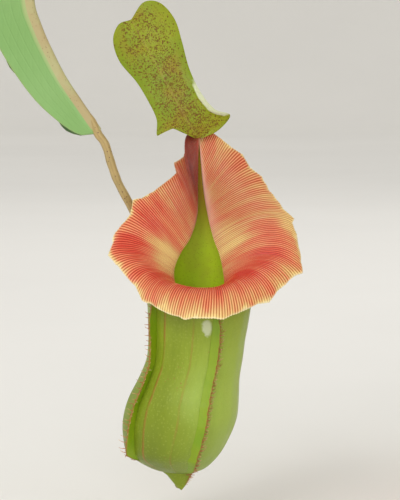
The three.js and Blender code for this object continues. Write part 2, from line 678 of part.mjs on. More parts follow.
const { made: pot, inside } = potSolid();
place("pot", pot, "clay");
place("potting_mix", mixSolid(inside), "mix");
place("stem", stemSolid(), "stem");

BEARERS.forEach((spec, i) => {
  const { grain } = spec;
  const branch = { ...spec, bearing: leafBearing(spec.leafNo), z: leafZ(spec.leafNo) };
  const matrix = matrixOf(branch);
  const own = matrix.clone().multiply(new THREE.Matrix4().makeRotationZ(branch.turn));
  const name = "pitcher_" + (i + 1);
  const bowl = cupSolid(grain, (grain.ringStep > 1 ? COARSE_RIM_DROP : RIM_DROP) / branch.scale);
  const tail = bar(evenly(CUP_TAIL, 5), (t) => mix(...CUP_TAIL_R, t), 8);
  const wings = WINGS.flatMap((wing) => wingSolids(wing, grain.hairs));
  place("leaf_" + (branch.leafNo + 1), bearingLeaf(branch, grain.leaf), "leaf", matrix);
  place(name + "_tendril", bearingTendril(branch, grain.tendril), "tendril", matrix);
  place(name + "_cup", [tail, ...wings].reduce((sum, piece) => sum.add(piece), bowl), "cup", own);
  place(name + "_collar", collarSolid(grain.ribs, COLLAR_SPANS), "collar", own);
  place(name + "_lid", lidSolid(...grain.lid), "lid", own);
});

BARREN.forEach((branch) => {
  const turn = ((leafBearing(branch.leafNo, branch.swing) - 180) * PI) / 180;
  const matrix = new THREE.Matrix4().makeRotationZ(turn).setPosition(0, 0, leafZ(branch.leafNo));
  const { spine, made } = barrenLeaf(branch, BARREN_SPANS);
  const label = branch.leafNo + 1;
  place("leaf_" + label, made, "leaf", matrix);
  if (branch.tendril) place("tendril_" + label, buddedTendril(branch, spine, BUD_SPANS), "tendril", matrix);
});

export default plant;
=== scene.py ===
import math

import bmesh
import bpy
import numpy as np
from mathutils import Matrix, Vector


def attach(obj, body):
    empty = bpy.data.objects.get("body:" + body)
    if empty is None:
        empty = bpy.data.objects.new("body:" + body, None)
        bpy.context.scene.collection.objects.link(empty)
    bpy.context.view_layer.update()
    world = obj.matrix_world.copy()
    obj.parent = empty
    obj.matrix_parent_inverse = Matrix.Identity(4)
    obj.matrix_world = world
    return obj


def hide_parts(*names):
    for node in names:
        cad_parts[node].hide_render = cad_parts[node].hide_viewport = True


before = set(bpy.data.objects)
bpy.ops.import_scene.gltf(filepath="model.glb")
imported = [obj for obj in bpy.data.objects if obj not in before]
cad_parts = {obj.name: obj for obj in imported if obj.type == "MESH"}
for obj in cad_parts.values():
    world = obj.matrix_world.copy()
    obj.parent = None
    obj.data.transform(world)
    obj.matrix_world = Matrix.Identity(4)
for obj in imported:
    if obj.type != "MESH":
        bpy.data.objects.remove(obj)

bl_info = {
    "name": "Potted pitcher plant",
    "version": (1, 0, 0),
    "blender": (4, 5, 0),
    "location": "3D View > Sidebar > Pitcher Plant",
    "description": "Makes a tropical pitcher plant in a clay pot, with its looks, floor, lights and camera",
    "category": "Object",
}

MM = 0.001
TAU = 2 * math.pi

# ---------------------------------------------------------------- forms, shared with the solids, in mm

# pot, mix and stem
POT_HEIGHT = 128
POT_FOOT_R = 47
POT_RIM_R = 70
POT_WALL = 5.5
POT_FLOOR = 7
RIM_BAND = 25
RIM_STEP = 3.5
DRAIN_R = 4
DRAIN_RING = 21
DRAINS = 3
AXIS_R = 0.01
SOIL_TOP = 114
MIX_GAP = 0.95
STEM_FOOT_Z = 92
STEM_TOP_Z = 232
STEM_R = 5.6
STEM_TIP_R = 3
STEM_POINT = 9
STEM_CLEAR = 0.9
SCAR_STEP = 8.5

# leaves and tendrils
FIRST_LEAF_Z = 180
LEAF_STEP_Z = 6
LEAF_TURN = 144
BLADE_THICK = 0.9
LEAF_WAVES = 3.5
LEAF_RIB_R = 2.6
RIB_END_R = 1.75
PETIOLE_SHARE = 0.17
PETIOLE_HALF = 5.2
TENDRIL_R = 1.7

# pitchers
CUP_WALL = 1.4
COLLAR_THICK = 1.1
SEAT = 0.4
RIM_GAP = 0.3
WING_HAIR_R = 0.2
KEEL_HAIR_R = 0.16
LID_THICK = 1.1

# the photograph's view: its distance, the height that it shows, the tilt that the forms were drawn for, the
# camera's own tilt, shift aside and sensor, the view's centre, and the stem's place beside the main pitcher
VIEW_DISTANCE = 800
VIEW_SPAN = 210
VIEW_TILT = math.radians(5)
CAMERA_TILT = math.radians(6.5)
CAMERA_ASIDE = -0.6
SENSOR = 36
VIEW_CENTRE = np.array([2.1, 0, 100.8])
STEM_LOCAL = np.array([165.0, 0, 160])

# the stage
FLOOR_R = 3400
FLOOR_WALL_R = 4400
BACKDROP_TOP = 1500

# how finely the pieces are made: rows along them, and sides or columns round or across them
COLLAR_ACROSS = 30
COLUMNS_A_RIB = 5
CUP_SIDES = 176
CUP_ROWS = 58
SHOULDER_ROWS = 18
WING_ROWS = 90
KEEL_SIDES = 20
KEEL_ROWS = 24
LID_ROWS = 90
LID_COLUMNS = 44
LEAF_COLUMNS = 16
RIB_COLUMNS = 15
BEARING_ROWS = 150
BARREN_ROWS = 110
TENDRIL_SIDES = 28
TENDRIL_ROWS = 130
BUDDED_ROWS = 180
BUD_ROWS = 35
POT_SIDES = 160
POT_STEP = 1.4
DRAIN_SIDES = 32
CHIP_SIDES = 8
CHIP_ROWS = 5
MIX_SIDES = 96
STEM_SIDES = 40
STEM_ROWS = 220
FLOOR_SIDES = 96
# the row of the cup's skin where its lining starts, and how many of a leaf's columns look like its rib
LINING_FROM = 10
RIB_PAINTED = 12

# A cup's faces have one of these paints, each a material of its own.
SKIN, LINING, WING, HAIR = range(4)

# The main pitcher's own places: x to the right, y away from the camera, z up, as seen from the front. The
# collar's three lines go round the mouth from the front lip to the right: inner edge, crest and margin.
COLLAR_INNER = np.array([
    [3, -14, 83], [8.5, -12.5, 83.6], [11.6, -7, 86], [11.3, -1, 91.5],
    [9.8, 4, 98.5], [7.2, 10, 105.5], [4.9, 15.5, 115], [2.9, 20.5, 127],
    [1, 24, 146], [0.5, 20.5, 128], [0.2, 15.5, 115], [-2.6, 10, 105.8],
    [-6.6, 4, 99.5], [-9.4, -1, 92.5], [-8.6, -7, 86.2], [-3.5, -12.5, 84],
])
COLLAR_CREST = np.array([
    [1, -26, 89.8], [12, -24.5, 91], [24, -17, 98], [31, -6, 106],
    [30, 0, 114], [26, 5, 120], [17, 10, 126], [9, 19, 139],
    [1.5, 24.5, 151], [-3, 19, 139], [-4.5, 13, 130], [-13, 8, 121],
    [-18, 2, 113.5], [-23.5, -6, 104], [-18, -18, 94.5], [-10, -24.5, 91],
])
COLLAR_OUTER = np.array([
    [-2.1, -34, 73], [13, -32, 73.5], [30, -21, 81], [43, -8, 93],
    [42.6, 0, 104], [38.4, 6, 114.8], [29, 14, 127.5], [13, 23.5, 145],
    [1.5, 27, 151.5], [-4.3, 25.5, 148], [-5.6, 20, 136], [-17, 13, 126],
    [-25, 6, 120], [-35, -8, 100.5], [-22.3, -23, 82], [-13, -31, 75],
])
# Torn points on the margin: place along its 16 points, and how far each stands out. The one at the left of
# the neck leans its own way.
COLLAR_TEETH = [
    (0.9, 0.9), (2, 2), (3, 2.2), (5, 3), (6.2, 1.5), (6.65, 1.5),
    (9.8, 3.2), (12, 2.6), (12.65, 1.4), (13.05, 2.6), (14, 2.2), (15.8, 1.2),
]
TOOTH_HALF = 0.25
NECK_POINT_AT = 10.05
NECK_POINT_HALF = 0.22
NECK_POINT = np.array([-3.6, -1.5, 1.6])
# Where the collar's colour shifts: place round the mouth from the front lip to the right, place from the
# inner edge out, their half sizes, and how strongly.
COLLAR_TINTS = {
    # redder, or less red
    "blush": [
        (0.0, 0.35, 0.1, 0.3, 0.42),
        (0.11, 0.3, 0.06, 0.35, 0.6),
        (0.2, 0.55, 0.06, 0.3, 0.34),
        (0.3, 0.6, 0.04, 0.3, 0.12),
        (0.38, 0.5, 0.03, 0.5, 0.14),
        (0.88, 0.4, 0.07, 0.35, 0.34),
        (0.8, 0.7, 0.06, 0.3, 0.42),
        (0.73, 0.6, 0.04, 0.4, 0.3),
        (0.6, 0.5, 0.07, 0.9, 0.3),
        (0.54, 0.5, 0.04, 0.9, 0.3),
        (0.42, 0.6, 0.04, 0.6, 0.12),
        (0.0, 0.95, 0.04, 0.12, -0.25),
        (0.79, 0.15, 0.05, 0.2, -0.32),
        (0.29, 0.1, 0.06, 0.25, -0.22),
        (0.36, 0.95, 0.05, 0.16, -0.2),
        (0.28, 0.92, 0.02, 0.16, -0.3),
        (0.94, 0.98, 0.02, 0.2, -0.45),
    ],
    # a pale pink along the neck's inner edge
    "pale": [(0.4, 0.0, 0.08, 0.1, 0.9), (0.47, 0.0, 0.05, 0.1, 0.7), (0.62, 0.0, 0.06, 0.05, 0.5)],
    # a very dark red left of the neck, partly its own deeper red and partly painted shade
    "maroon": [(0.6, 0.5, 0.05, 0.9, 0.9), (0.545, 0.5, 0.04, 0.9, 1.0)],
    # browner, high on the right and on the left
    "shade": [(0.4, 0.45, 0.09, 0.6, 0.8), (0.67, 0.5, 0.03, 0.6, 0.5), (0.3, 0.5, 0.06, 0.5, 0.25)],
}
# The cup's rings: height, centre x and y, and radius.
CUP_RINGS = np.array([
    [3.4, -7, 7.5, 3], [5.2, -6.9, 6, 7.2], [7.7, -7.7, 4, 12.6], [13.9, -9, 2, 19.3], [21, -7.8, 0.8, 22],
    [29.4, -6.2, 0, 23.5], [37.8, -4.9, 0, 23], [46.2, -2.9, 0, 21.3], [54.6, -0.7, 0, 20.4],
    [63, 0.2, 0, 20.6], [70, 0.8, 0, 21.3], [76.5, 1.2, 0, 21.9],
])
# The cup's tail turns back into the tendril, and its two radii are those at its ends.
CUP_TAIL = [[-7, 7, 6], [-7.1, 7.4, 2.4], [-7.2, 9, 0.7], [-7.3, 12, 0.4]]
CUP_TAIL_R = (2.4, 1.2)
# The keel's rings: centre x, y and z, and half width.
KEEL_RINGS = [
    [-6.5, 3, -2.7, 0.35], [-6.8, 3, -0.8, 2.2], [-7.1, 2.8, 1.6, 3.8],
    [-7.4, 2.6, 3.8, 5.2], [-7.8, 3, 5.8, 7.6],
]
# A wing's place round the cup, its lean to the side and how it swings further, how its lower end sinks, its
# reach and how much more it has at its lower corner, its top and foot heights, and its share of hairs.
WINGS = [
    {"turn": -0.97, "lean": -0.1, "swing": 0.6, "sink": 0.4, "reach": 4.4, "corner": 1.2, "top": 81,
     "foot": 12, "fringe": 1},
    {"turn": 0.32, "lean": 1.05, "swing": 0, "sink": 0.5, "reach": 2.9, "corner": 0.2, "top": 78,
     "foot": 4.2, "fringe": 1.7},
]
# Where the cup's colour shifts: place round it from the front to the right, height in hundredths of a
# metre, their half sizes, and how strongly.
CUP_TINTS = {
    # a whitish painted highlight high on the front, and a fainter whitish patch lower down
    "bloom": [(0.024, 7.05, 0.022, 0.5, 1.5), (0.03, 4.3, 0.04, 0.8, 0.5)],
    # lighter, on the right and a little in the middle
    "light": [(0.19, 4.2, 0.12, 4.2, 0.9), (0.03, 4.3, 0.04, 1.2, 0.3)],
    # darker on the left, and painted shade at the foot
    "shade": [
        (0.88, 2.5, 0.08, 2.8, 0.4), (0.95, 1.0, 0.25, 1.6, 0.7), (0.93, 5, 0.03, 4.5, 0.3),
        (0.78, 3.2, 0.06, 3.4, 0.5)
    ],
}
# The lid's keel, and its right and left edges: each point's place along the lid and how far out it is.
LID_KEEL = [[0], [2], [5], [10], [17], [26], [35], [43], [50], [54.5], [56.8]]
LID_RIGHT = [
    [-0.7, 0], [-1.4, 9], [1.7, 16.8], [7, 12.6], [16, 10.9], [27, 11.3],
    [38, 14], [48, 16], [57, 14], [60.6, 8], [56.8, 0],
]
LID_LEFT = [
    [-0.7, 0], [4.8, -4], [10, -8.6], [9.2, -14.1], [15.4, -11], [24, -10.4],
    [33, -10.8], [44, -12.8], [53, -10.8], [57.6, -5.5], [56.8, 0],
]
# The lines of the lid's stalk and spur. The lid's own lines start from its base and go along and across it.
LID_STALK = [[0.2, 20.4, 149.5], [0.9, 24.4, 152.9], [1, 27, 153.3]]
LID_SPUR = [[1, 26.5, 153.3], [1.2, 30, 155], [1.2, 34, 158.8]]
LID_BASE = np.array([0.4, 21.2, 147.2])
LID_ALONG = np.array([-0.488, 0, 0.873])
LID_ACROSS = np.array([0.873, 0, 0.488])
# The leaf that bears the main pitcher, from its stem to its tip, and its tendril on down to the cup's tail.
BEARING_SPINE = [
    [148, 0, 172], [128, 2, 196], [98, 4, 228], [60, 6, 256], [18, 8, 274], [-25, 9, 276], [-55.5, 10, 256],
    [-69.5, 10, 228], [-70.6, 10, 205.8], [-67.2, 10.5, 193.6], [-62.6, 11, 183.1], [-57, 11.3, 172.2],
    [-50.6, 11.7, 162.5], [-42, 12, 150],
]
TENDRIL_LINE = [
    [-42, 12, 150], [-38.3, 12.3, 145], [-35.8, 13, 137], [-32.9, 14.5, 129], [-27.9, 18, 119.5],
    [-21.5, 25, 107], [-13, 32, 88], [-8, 34.5, 64], [-7, 34, 40], [-7.5, 30, 20],
    [-7.4, 24, 9], [-7.3, 18, 3], [-7.3, 12.5, 1.5],
]

# Each branch that bears a pitcher repeats the main one at a scale, turned round the stem by its leaf's
# number. A leaf has the half width and waves of its blade, how far it is open in the middle and at its tip
# in radians, how blunt it is (power), and places where its far half strays out.
BEARERS = [
    {
        "leaf_no": 0, "scale": 1, "sway": 0, "turn": 0,
        "leaf": {"half": 28.5, "open": 1.1, "tip": 0.49, "wave": 0.6, "phase": 0, "power": 0.45, "scale": 1,
                 "stray": [(0.893, 2.2), (0.98, 2.6)]},
    },
    {
        "leaf_no": 1, "scale": 0.82, "sway": -10, "turn": 0.3,
        "leaf": {"half": 29, "open": 1.15, "tip": 0.6, "wave": 1.6, "phase": 2, "power": 0.8, "scale": 1},
    },
    {
        "leaf_no": 4, "scale": 0.64, "sway": 12, "turn": 0.45,
        "leaf": {"half": 30, "open": 1.2, "tip": 0.7, "wave": 1.8, "phase": 4, "power": 0.8, "scale": 1},
    },
]
# The leaves without a pitcher. Each rises and droops by angles in degrees, and all but the youngest have a
# tendril that ends in a closed bud.
BARREN = [
    {
        "leaf_no": 2, "swing": -8, "length": 215, "rise": 48, "droop": -62, "drift": 0.12,
        "tendril": 95, "bud": 3.6,
        "leaf": {"half": 26, "open": 1.15, "tip": 1.1, "wave": 1.8, "phase": 1, "power": 0.8, "scale": 1},
    },
    {
        "leaf_no": 3, "swing": 6, "length": 285, "rise": 44, "droop": -78, "drift": -0.1,
        "tendril": 110, "bud": 4.4,
        "leaf": {"half": 29, "open": 1.15, "tip": 1.1, "wave": 2, "phase": 3, "power": 0.8, "scale": 1},
    },
    {
        "leaf_no": 5, "swing": 10, "length": 200, "rise": 74, "droop": 8, "drift": 0.08,
        "tendril": 80, "bud": 3,
        "leaf": {"half": 23, "open": 1.1, "tip": 0.95, "wave": 1.6, "phase": 5, "power": 0.8, "scale": 0.9},
    },
    {
        "leaf_no": 6, "swing": 0, "length": 175, "rise": 74, "droop": 5, "drift": -0.1,
        "tendril": 60, "bud": 2.4,
        "leaf": {"half": 20, "open": 1.05, "tip": 0.95, "wave": 1.4, "phase": 6, "power": 0.8,
                 "scale": 0.8},
    },
    {
        "leaf_no": 7, "swing": 0, "length": 125, "rise": 80, "droop": 35, "drift": 0.06,
        "tendril": 0, "bud": 0,
        "leaf": {"half": 14, "open": 0.8, "tip": 0.6, "wave": 1, "phase": 7, "power": 0.8, "scale": 0.7},
    },
]

# ---------------------------------------------------------------- curves


def mix(a, b, t):
    return a + (b - a) * t


def clamp01(t):
    return np.clip(t, 0.0, 1.0)


def smooth(t):
    return t * t * (3 - 2 * t)


def unit(v):
    return v / np.maximum(np.linalg.norm(v, axis=-1, keepdims=True), 1e-12)


def turns(count):
    """Angles evenly round a circle."""
    return np.arange(count) * TAU / count


def hoop(r, z, turn):
    """Points round the upright axis at radius r and height z."""
    return np.stack([r * np.cos(turn), r * np.sin(turn), z + 0 * turn], axis=-1)


def through(rows, u, closed=False):
    """Points of a smooth line through rows, read at each u from 0 to 1."""
    rows = np.asarray(rows, float)
    u = np.atleast_1d(np.asarray(u, float))
    count = len(rows)
    spans = count if closed else count - 1
    place = (u % 1.0) * spans if closed else np.clip(u, 0, 1) * spans
    i = np.minimum(np.floor(place).astype(int), spans - 1)
    t = (place - i)[:, None]
    if closed:
        p0, p1, p2, p3 = (rows[(i + k) % count] for k in (-1, 0, 1, 2))
    else:
        padded = np.vstack([2 * rows[0] - rows[1], rows, 2 * rows[-1] - rows[-2]])
        p0, p1, p2, p3 = (padded[i + k] for k in (0, 1, 2, 3))
    pull, push = (p2 - p0) / 2, (p3 - p1) / 2
    c2 = 3 * (p2 - p1) - 2 * pull - push
    c3 = 2 * (p1 - p2) + pull + push
    return p1 + pull * t + c2 * t**2 + c3 * t**3


def spread(points, count):
    """Count + 1 points evenly spaced along a line of many points."""
    run = np.concatenate([[0], np.cumsum(np.linalg.norm(np.diff(points, axis=0), axis=1))])
    want = np.linspace(0, run[-1], count + 1)
    return np.stack([np.interp(want, run, points[:, k]) for k in range(points.shape[1])], axis=1)


def evenly(rows, count, dense=800):
    return spread(through(rows, np.linspace(0, 1, dense + 1)), count)


def headings(points):
    ahead = np.vstack([points[1:], points[-1:]])
    behind = np.vstack([points[:1], points[:-1]])
    return unit(ahead - behind)


def from_view(p):
    """A point drawn as it looks from the front, with its true depth, put in its true place."""
    c, s = math.cos(VIEW_TILT), math.sin(VIEW_TILT)
    high = p[..., 2] - VIEW_CENTRE[2]
    y = p[..., 1]
    over = high * (VIEW_DISTANCE + y * c) - VIEW_DISTANCE * y * s
    rise = over / (VIEW_DISTANCE * c + high * s)
    depth = (VIEW_DISTANCE + y * c - rise * s) / VIEW_DISTANCE
    x = VIEW_CENTRE[0] + (p[..., 0] - VIEW_CENTRE[0]) * depth
    return np.stack([x, y, VIEW_CENTRE[2] + rise], axis=-1)


def spun(p, angle):
    """Points turned about the upright axis."""
    c, s = math.cos(angle), math.sin(angle)
    return np.stack([p[..., 0] * c - p[..., 1] * s, p[..., 0] * s + p[..., 1] * c, p[..., 2]], axis=-1)


def leaf_z(number):
    return FIRST_LEAF_Z + LEAF_STEP_Z * number


def branch_home(branch, p, own=False):
    """Points of a bearing branch, or of its turned pitcher, in the plant's place."""
    if own:
        p = spun(p, branch["turn"])
    q = (p - STEM_LOCAL) * branch["scale"] + np.array([0, 0, leaf_z(branch["leaf_no"])])
    return spun(q, math.radians(LEAF_TURN * branch["leaf_no"]))


def barren_home(branch, p):
    q = p + np.array([0, 0, leaf_z(branch["leaf_no"])])
    return spun(q, math.radians(LEAF_TURN * branch["leaf_no"] + branch["swing"]))


def stem_radius(z):
    slim = mix(STEM_R, STEM_TIP_R, smooth(clamp01((z - FIRST_LEAF_Z) / (STEM_TOP_Z - FIRST_LEAF_Z))))
    return slim * mix(1, 0.3, clamp01((z - STEM_TOP_Z + STEM_POINT) / STEM_POINT) ** 2)


# ---------------------------------------------------------------- meshes


class Build:
    """Gathers lofts, bars and loose faces, with a UV for every corner, into one mesh."""

    def __init__(self):
        self.points, self.faces, self.uvs, self.paint = [], [], [], []
        self.count = 0

    def loft(self, rings, closed=False, around=True, caps=(True, True), uv=None, paint=0):
        """Joins rings of points (rows, across, 3). uv is (rows, across, 2), or runs evenly over both."""
        rings = np.asarray(rings, float)
        rows, across = rings.shape[:2]
        base = self.count
        self.points.append(rings.reshape(-1, 3))
        self.count += rows * across
        last_row = rows if closed else rows - 1
        last_col = across if around else across - 1
        r = np.arange(last_row)[:, None]
        c = np.arange(last_col)[None, :]
        r2, c2 = (r + 1) % rows, (c + 1) % across
        quads = np.stack([r * across + c, r * across + c2, r2 * across + c2, r2 * across + c], axis=-1)
        quads = np.broadcast_to(quads, (last_row, last_col, 4)).reshape(-1, 4)
        self.faces.append(quads + base)
        if uv is None:
            low = np.stack(np.broadcast_arrays(c / last_col, r / last_row), axis=-1)
            step_c, step_r = np.array([1 / last_col, 0]), np.array([0, 1 / last_row])
            corners = np.stack([low, low + step_c, low + step_c + step_r, low + step_r], axis=2)
        else:
            corners = np.stack([uv[r, c], uv[r, c2], uv[r2, c2], uv[r2, c]], axis=2)
        self.uvs.append(corners.reshape(-1, 4, 2))
        self.paint.append(np.full(len(quads), paint))
        if not closed and around:
            for wanted, row, flip in ((caps[0], 0, False), (caps[1], rows - 1, True)):
                if wanted:
                    self.cap(base + row * across, across, rings[row], flip, paint, 0.0 if row == 0 else 1.0)
        return self

    def cap(self, start, across, ring, flip, paint, v):
        middle = self.count
        self.points.append(ring.mean(axis=0)[None])
        self.count += 1
        i = np.arange(across)
        j = (i + 1) % across
        one, two = (i, j) if flip else (j, i)
        hub = np.full(across, middle)
        self.faces.append(np.stack([hub, start + one, start + two, start + two], axis=1))
        self.uvs.append(np.full((across, 4, 2), (0.5, v)))
        self.paint.append(np.full(across, paint))

    def bar(self, line, radius, sides, paint=0, caps=(True, True), flat=1.0):
        """A round bar along points, radius for each; flat under 1 squeezes it."""
        line = np.asarray(line, float)
        ways = headings(line)
        side = np.array([1.0, 0, 0]) if abs(ways[0][2]) > 0.9 else np.array([0, 0, 1.0])
        turn = turns(sides)
        rings = []
        for p, way, r in zip(line, ways, np.broadcast_to(radius, len(line))):
            side = unit(side - way * side.dot(way))
            other = np.cross(way, side)
            rings.append(p + r * np.cos(turn)[:, None] * side + r * flat * np.sin(turn)[:, None] * other)
        return self.loft(np.array(rings), paint=paint, caps=caps)

    def taper(self, rows, count, start, end, sides, paint=0):
        """A bar of count spans along a smooth line through rows, whose radius goes from start to end."""
        return self.bar(evenly(rows, count), mix(start, end, np.linspace(0, 1, count + 1)), sides, paint)

    def mesh(self, name, home=None, soft=40.0):
        """The gathered faces as a mesh in metres. Faces that meet at less than soft degrees look smooth."""
        points = np.concatenate(self.points)
        if home:
            points = home(points)
        faces = np.concatenate(self.faces)
        uvs = np.concatenate(self.uvs)
        paint = np.concatenate(self.paint)
        tri = faces[:, 2] == faces[:, 3]
        made = bpy.data.meshes.new(name)
        lists = [f[:3] if t else f for f, t in zip(faces.tolist(), tri.tolist())]
        made.from_pydata((points * MM).tolist(), [], lists)
        layer = made.uv_layers.new(name="UVMap")
        keep = np.ones(faces.shape, bool)
        keep[tri, 3] = False
        layer.data.foreach_set("uv", uvs[keep].ravel().astype(np.float32))
        made.polygons.foreach_set("material_index", paint.astype(np.int32))
        made.shade_smooth()
        made.set_sharp_from_angle(angle=math.radians(soft))
        made.validate()
        return made


def need(test, message):
    if not test:
        raise RuntimeError(message)


def remake_outward(made):
    """Turns a closed mesh's faces outward if they point in."""
    work = bmesh.new()
    work.from_mesh(made)
    bmesh.ops.recalc_face_normals(work, faces=work.faces)
    work.to_mesh(made)
    work.free()


def add_object(made):
    """Puts a mesh in the scene as an object of the same name."""
    need(len(made.polygons), made.name + " has no faces")
    remake_outward(made)
    body = bpy.data.objects.new(made.name, made)
    bpy.context.scene.collection.objects.link(body)
    return body


def add_piece(made, looks, node):
    """Puts a mesh in the scene as a piece that stands for a solid."""
    piece = add_object(made)
    for look in looks:
        made.materials.append(look)
    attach(piece, "root")
    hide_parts(node)


# ---------------------------------------------------------------- collar


def tooth_at(u):
    """How far the torn points push the margin out at each place round the mouth."""
    place = (u % 1.0) * len(COLLAR_OUTER)
    reach = np.zeros_like(place)
    for at, tall in COLLAR_TEETH:
        reach = np.maximum(reach, tall * np.maximum(0, 1 - np.abs(place - at) / TOOTH_HALF))
    return reach


def shares_for(u, s):
    """The shares s from inner edge to margin, as one row for each place u."""
    return np.broadcast_to(np.atleast_1d(s), (len(u), np.size(s))) if np.ndim(s) < 2 else s


def collar_point(u, s):
    """The collar's middle surface: u round the mouth, s from inner edge to margin. Gives (u, s, 3)."""
    u = np.atleast_1d(np.asarray(u, float))
    inner, crest, outer = (through(rows, u, True) for rows in (COLLAR_INNER, COLLAR_CREST, COLLAR_OUTER))
    outer = outer + unit(outer - crest) * tooth_at(u)[:, None]
    near = np.maximum(0, 1 - np.abs((u % 1.0) * len(COLLAR_OUTER) - NECK_POINT_AT) / NECK_POINT_HALF)
    outer = outer + near[:, None] * NECK_POINT
    k = shares_for(u, s)[..., None]
    drawn = (1 - k) ** 2 * inner[:, None] + 2 * k * (1 - k) * crest[:, None] + k**2 * outer[:, None]
    return from_view(drawn)


def collar_normal(u, s):
    s = shares_for(u, s)
    along = collar_point(u + 0.004, s) - collar_point(u - 0.004, s)
    across = collar_point(u, np.minimum(1, s + 0.05)) - collar_point(u, np.maximum(0, s - 0.05))
    return unit(np.cross(across, along))


def patches_at(u, v, rows):
    """Soft patches laid over a surface. A row is two places, round and across, half sizes and strength."""
    total = np.zeros(np.broadcast(u, v).shape)
    for at_u, at_v, wide, tall, strength in rows:
        du = (u - at_u + 0.5) % 1.0 - 0.5
        total = total + strength * np.exp(-((du / wide) ** 2) - ((v - at_v) / tall) ** 2)
    return total


def give_values(made, name, values):
    """Stores a number for each of the mesh's first points, and 0 for the rest, for its material to read."""
    padded = np.zeros(len(made.vertices), np.float32)
    padded[: np.size(values)] = np.ravel(values)
    made.attributes.new(name, "FLOAT", "POINT").data.foreach_set("value", padded)


def even_places(columns):
    """Places round the collar that are evenly spaced along its crest and margin."""
    u = np.linspace(0, 1, 1601)
    line = collar_point(u, [0.5, 0.9])
    steps = np.linalg.norm(np.diff(line, axis=0), axis=2).mean(axis=1)
    run = np.concatenate([[0], np.cumsum(steps + steps.mean() * 0.12)])
    return np.interp(np.arange(columns) / columns * run[-1], run, u)


def ragged(place, draw, count):
    """An uneven rise and fall round a closed line, from 0 to about 1, with count turning points."""
    return through(draw.random(count)[:, None] ** 2, place, True)[:, 0]


def collar_mesh(branch, ribs, relief, seed, name):
    """A collar with its ribs raised, each with a point of its own on an unevenly torn margin."""
    columns = ribs * COLUMNS_A_RIB
    draw = np.random.default_rng(seed)
    place = np.arange(columns) / columns
    u = even_places(columns)
    s = np.linspace(0, 1, COLLAR_ACROSS + 1)
    s = s + 0.03 * np.sin(TAU * s)
    middle = collar_point(u, s)
    normal = collar_normal(u, s)
    rib = np.abs(np.cos(math.pi * place * ribs)) ** 0.8
    fade = np.sin(math.pi * clamp01(s * 0.94 + 0.04)) ** 0.5
    lift = relief * (2 * rib - 1)[:, None] * fade[None, :]
    slim = mix(0.45, 1, smooth(clamp01(np.minimum(s / 0.05, (1 - s) / 0.07))))
    half = COLLAR_THICK / 2 * slim
    top = middle + normal * (half[None, :] + lift)[..., None]
    under = middle - normal * half[None, :, None]
    way = unit(middle[:, -1] - middle[:, -3])
    torn = 0.22 * rib**2 + 0.9 * ragged(place, draw, ribs // 2) * ragged(place, draw, ribs // 7) - 0.35
    for face in (top, under):
        face[:, -1] += way * torn[:, None]
        face[:, -2] += way * torn[:, None] * 0.5
    both = np.concatenate([s, s[::-1]])
    uv = np.stack(np.broadcast_arrays((place * ribs)[:, None], both[None, :]), axis=-1)
    build = Build()
    build.loft(np.concatenate([top, under[:, ::-1]], axis=1), closed=True, uv=uv)
    # the last faces run on to the whole number of ribs, not back to nought
    build.uvs[0].reshape(columns, -1, 4, 2)[-1, :, 2:, 0] = ribs
    made = build.mesh(name, lambda q: branch_home(branch, q, own=True), soft=75)
    for kind, rows in COLLAR_TINTS.items():
        give_values(made, kind, patches_at(u[:, None], both[None, :], rows))
    return made


# ---------------------------------------------------------------- cup


def cup_rim(u, side, drop):
    """The top edge of the skin (side 1) or the lining (side -1), drop below the collar's underside."""
    reach = np.linalg.norm(collar_point(u, 1.0)[:, 0] - collar_point(u, 0.0)[:, 0], axis=-1)
    s = (SEAT + side * CUP_WALL * 0.5 / np.maximum(reach, 4))[:, None]
    return collar_point(u, s)[:, 0] - collar_normal(u, SEAT)[:, 0] * (COLLAR_THICK / 2 + drop)


def ring_point(ring, turn, inset):
    z, x, y, r = ring
    return np.stack([x + (r - inset) * np.sin(turn), y - (r - inset) * np.cos(turn), z + 0 * turn], axis=-1)


def ring_at(z):
    return [np.interp(z, CUP_RINGS[:, 0], CUP_RINGS[:, k]) for k in range(4)]


def bent_hair(build, root, way, bend, length, thick):
    t = np.linspace(0, 1, 5)[:, None]
    line = root + way * length * t + bend * length * 0.55 * t**2
    build.bar(line, thick * (1 - 0.65 * t[:, 0]), 5, paint=HAIR)


def wing_station(wing, i):
    """A wing's foot on the cup, its way out, its reach and its way across, at share i from its top down."""
    turn = wing["turn"]
    forward = np.array([math.sin(turn), -math.cos(turn), 0])
    aside = np.array([math.cos(turn), math.sin(turn), 0])
    lowest = clamp01((i - 0.7) / 0.3)
    swung = wing["lean"] + wing["swing"] * math.sin(math.pi * clamp01(i * 1.12 - 0.04)) ** 0.7
    flat = forward * math.cos(swung) + aside * math.sin(swung)
    across = aside * math.cos(swung) - forward * math.sin(swung)
    out = unit(flat - np.array([0, 0, wing["sink"]]) * lowest)
    high = mix(wing["top"], wing["foot"], i)
    foot = ring_point(ring_at(high), turn, 0) + np.array([0, 0, max(0, high - CUP_RINGS[-1, 0])])
    reach = wing["reach"] * smooth(clamp01(0.35 + 11 * i / 3)) + wing["corner"] * lowest**2
    return foot, out, reach * mix(0.12, 1, smooth(clamp01((1 - i) / 0.09))), across


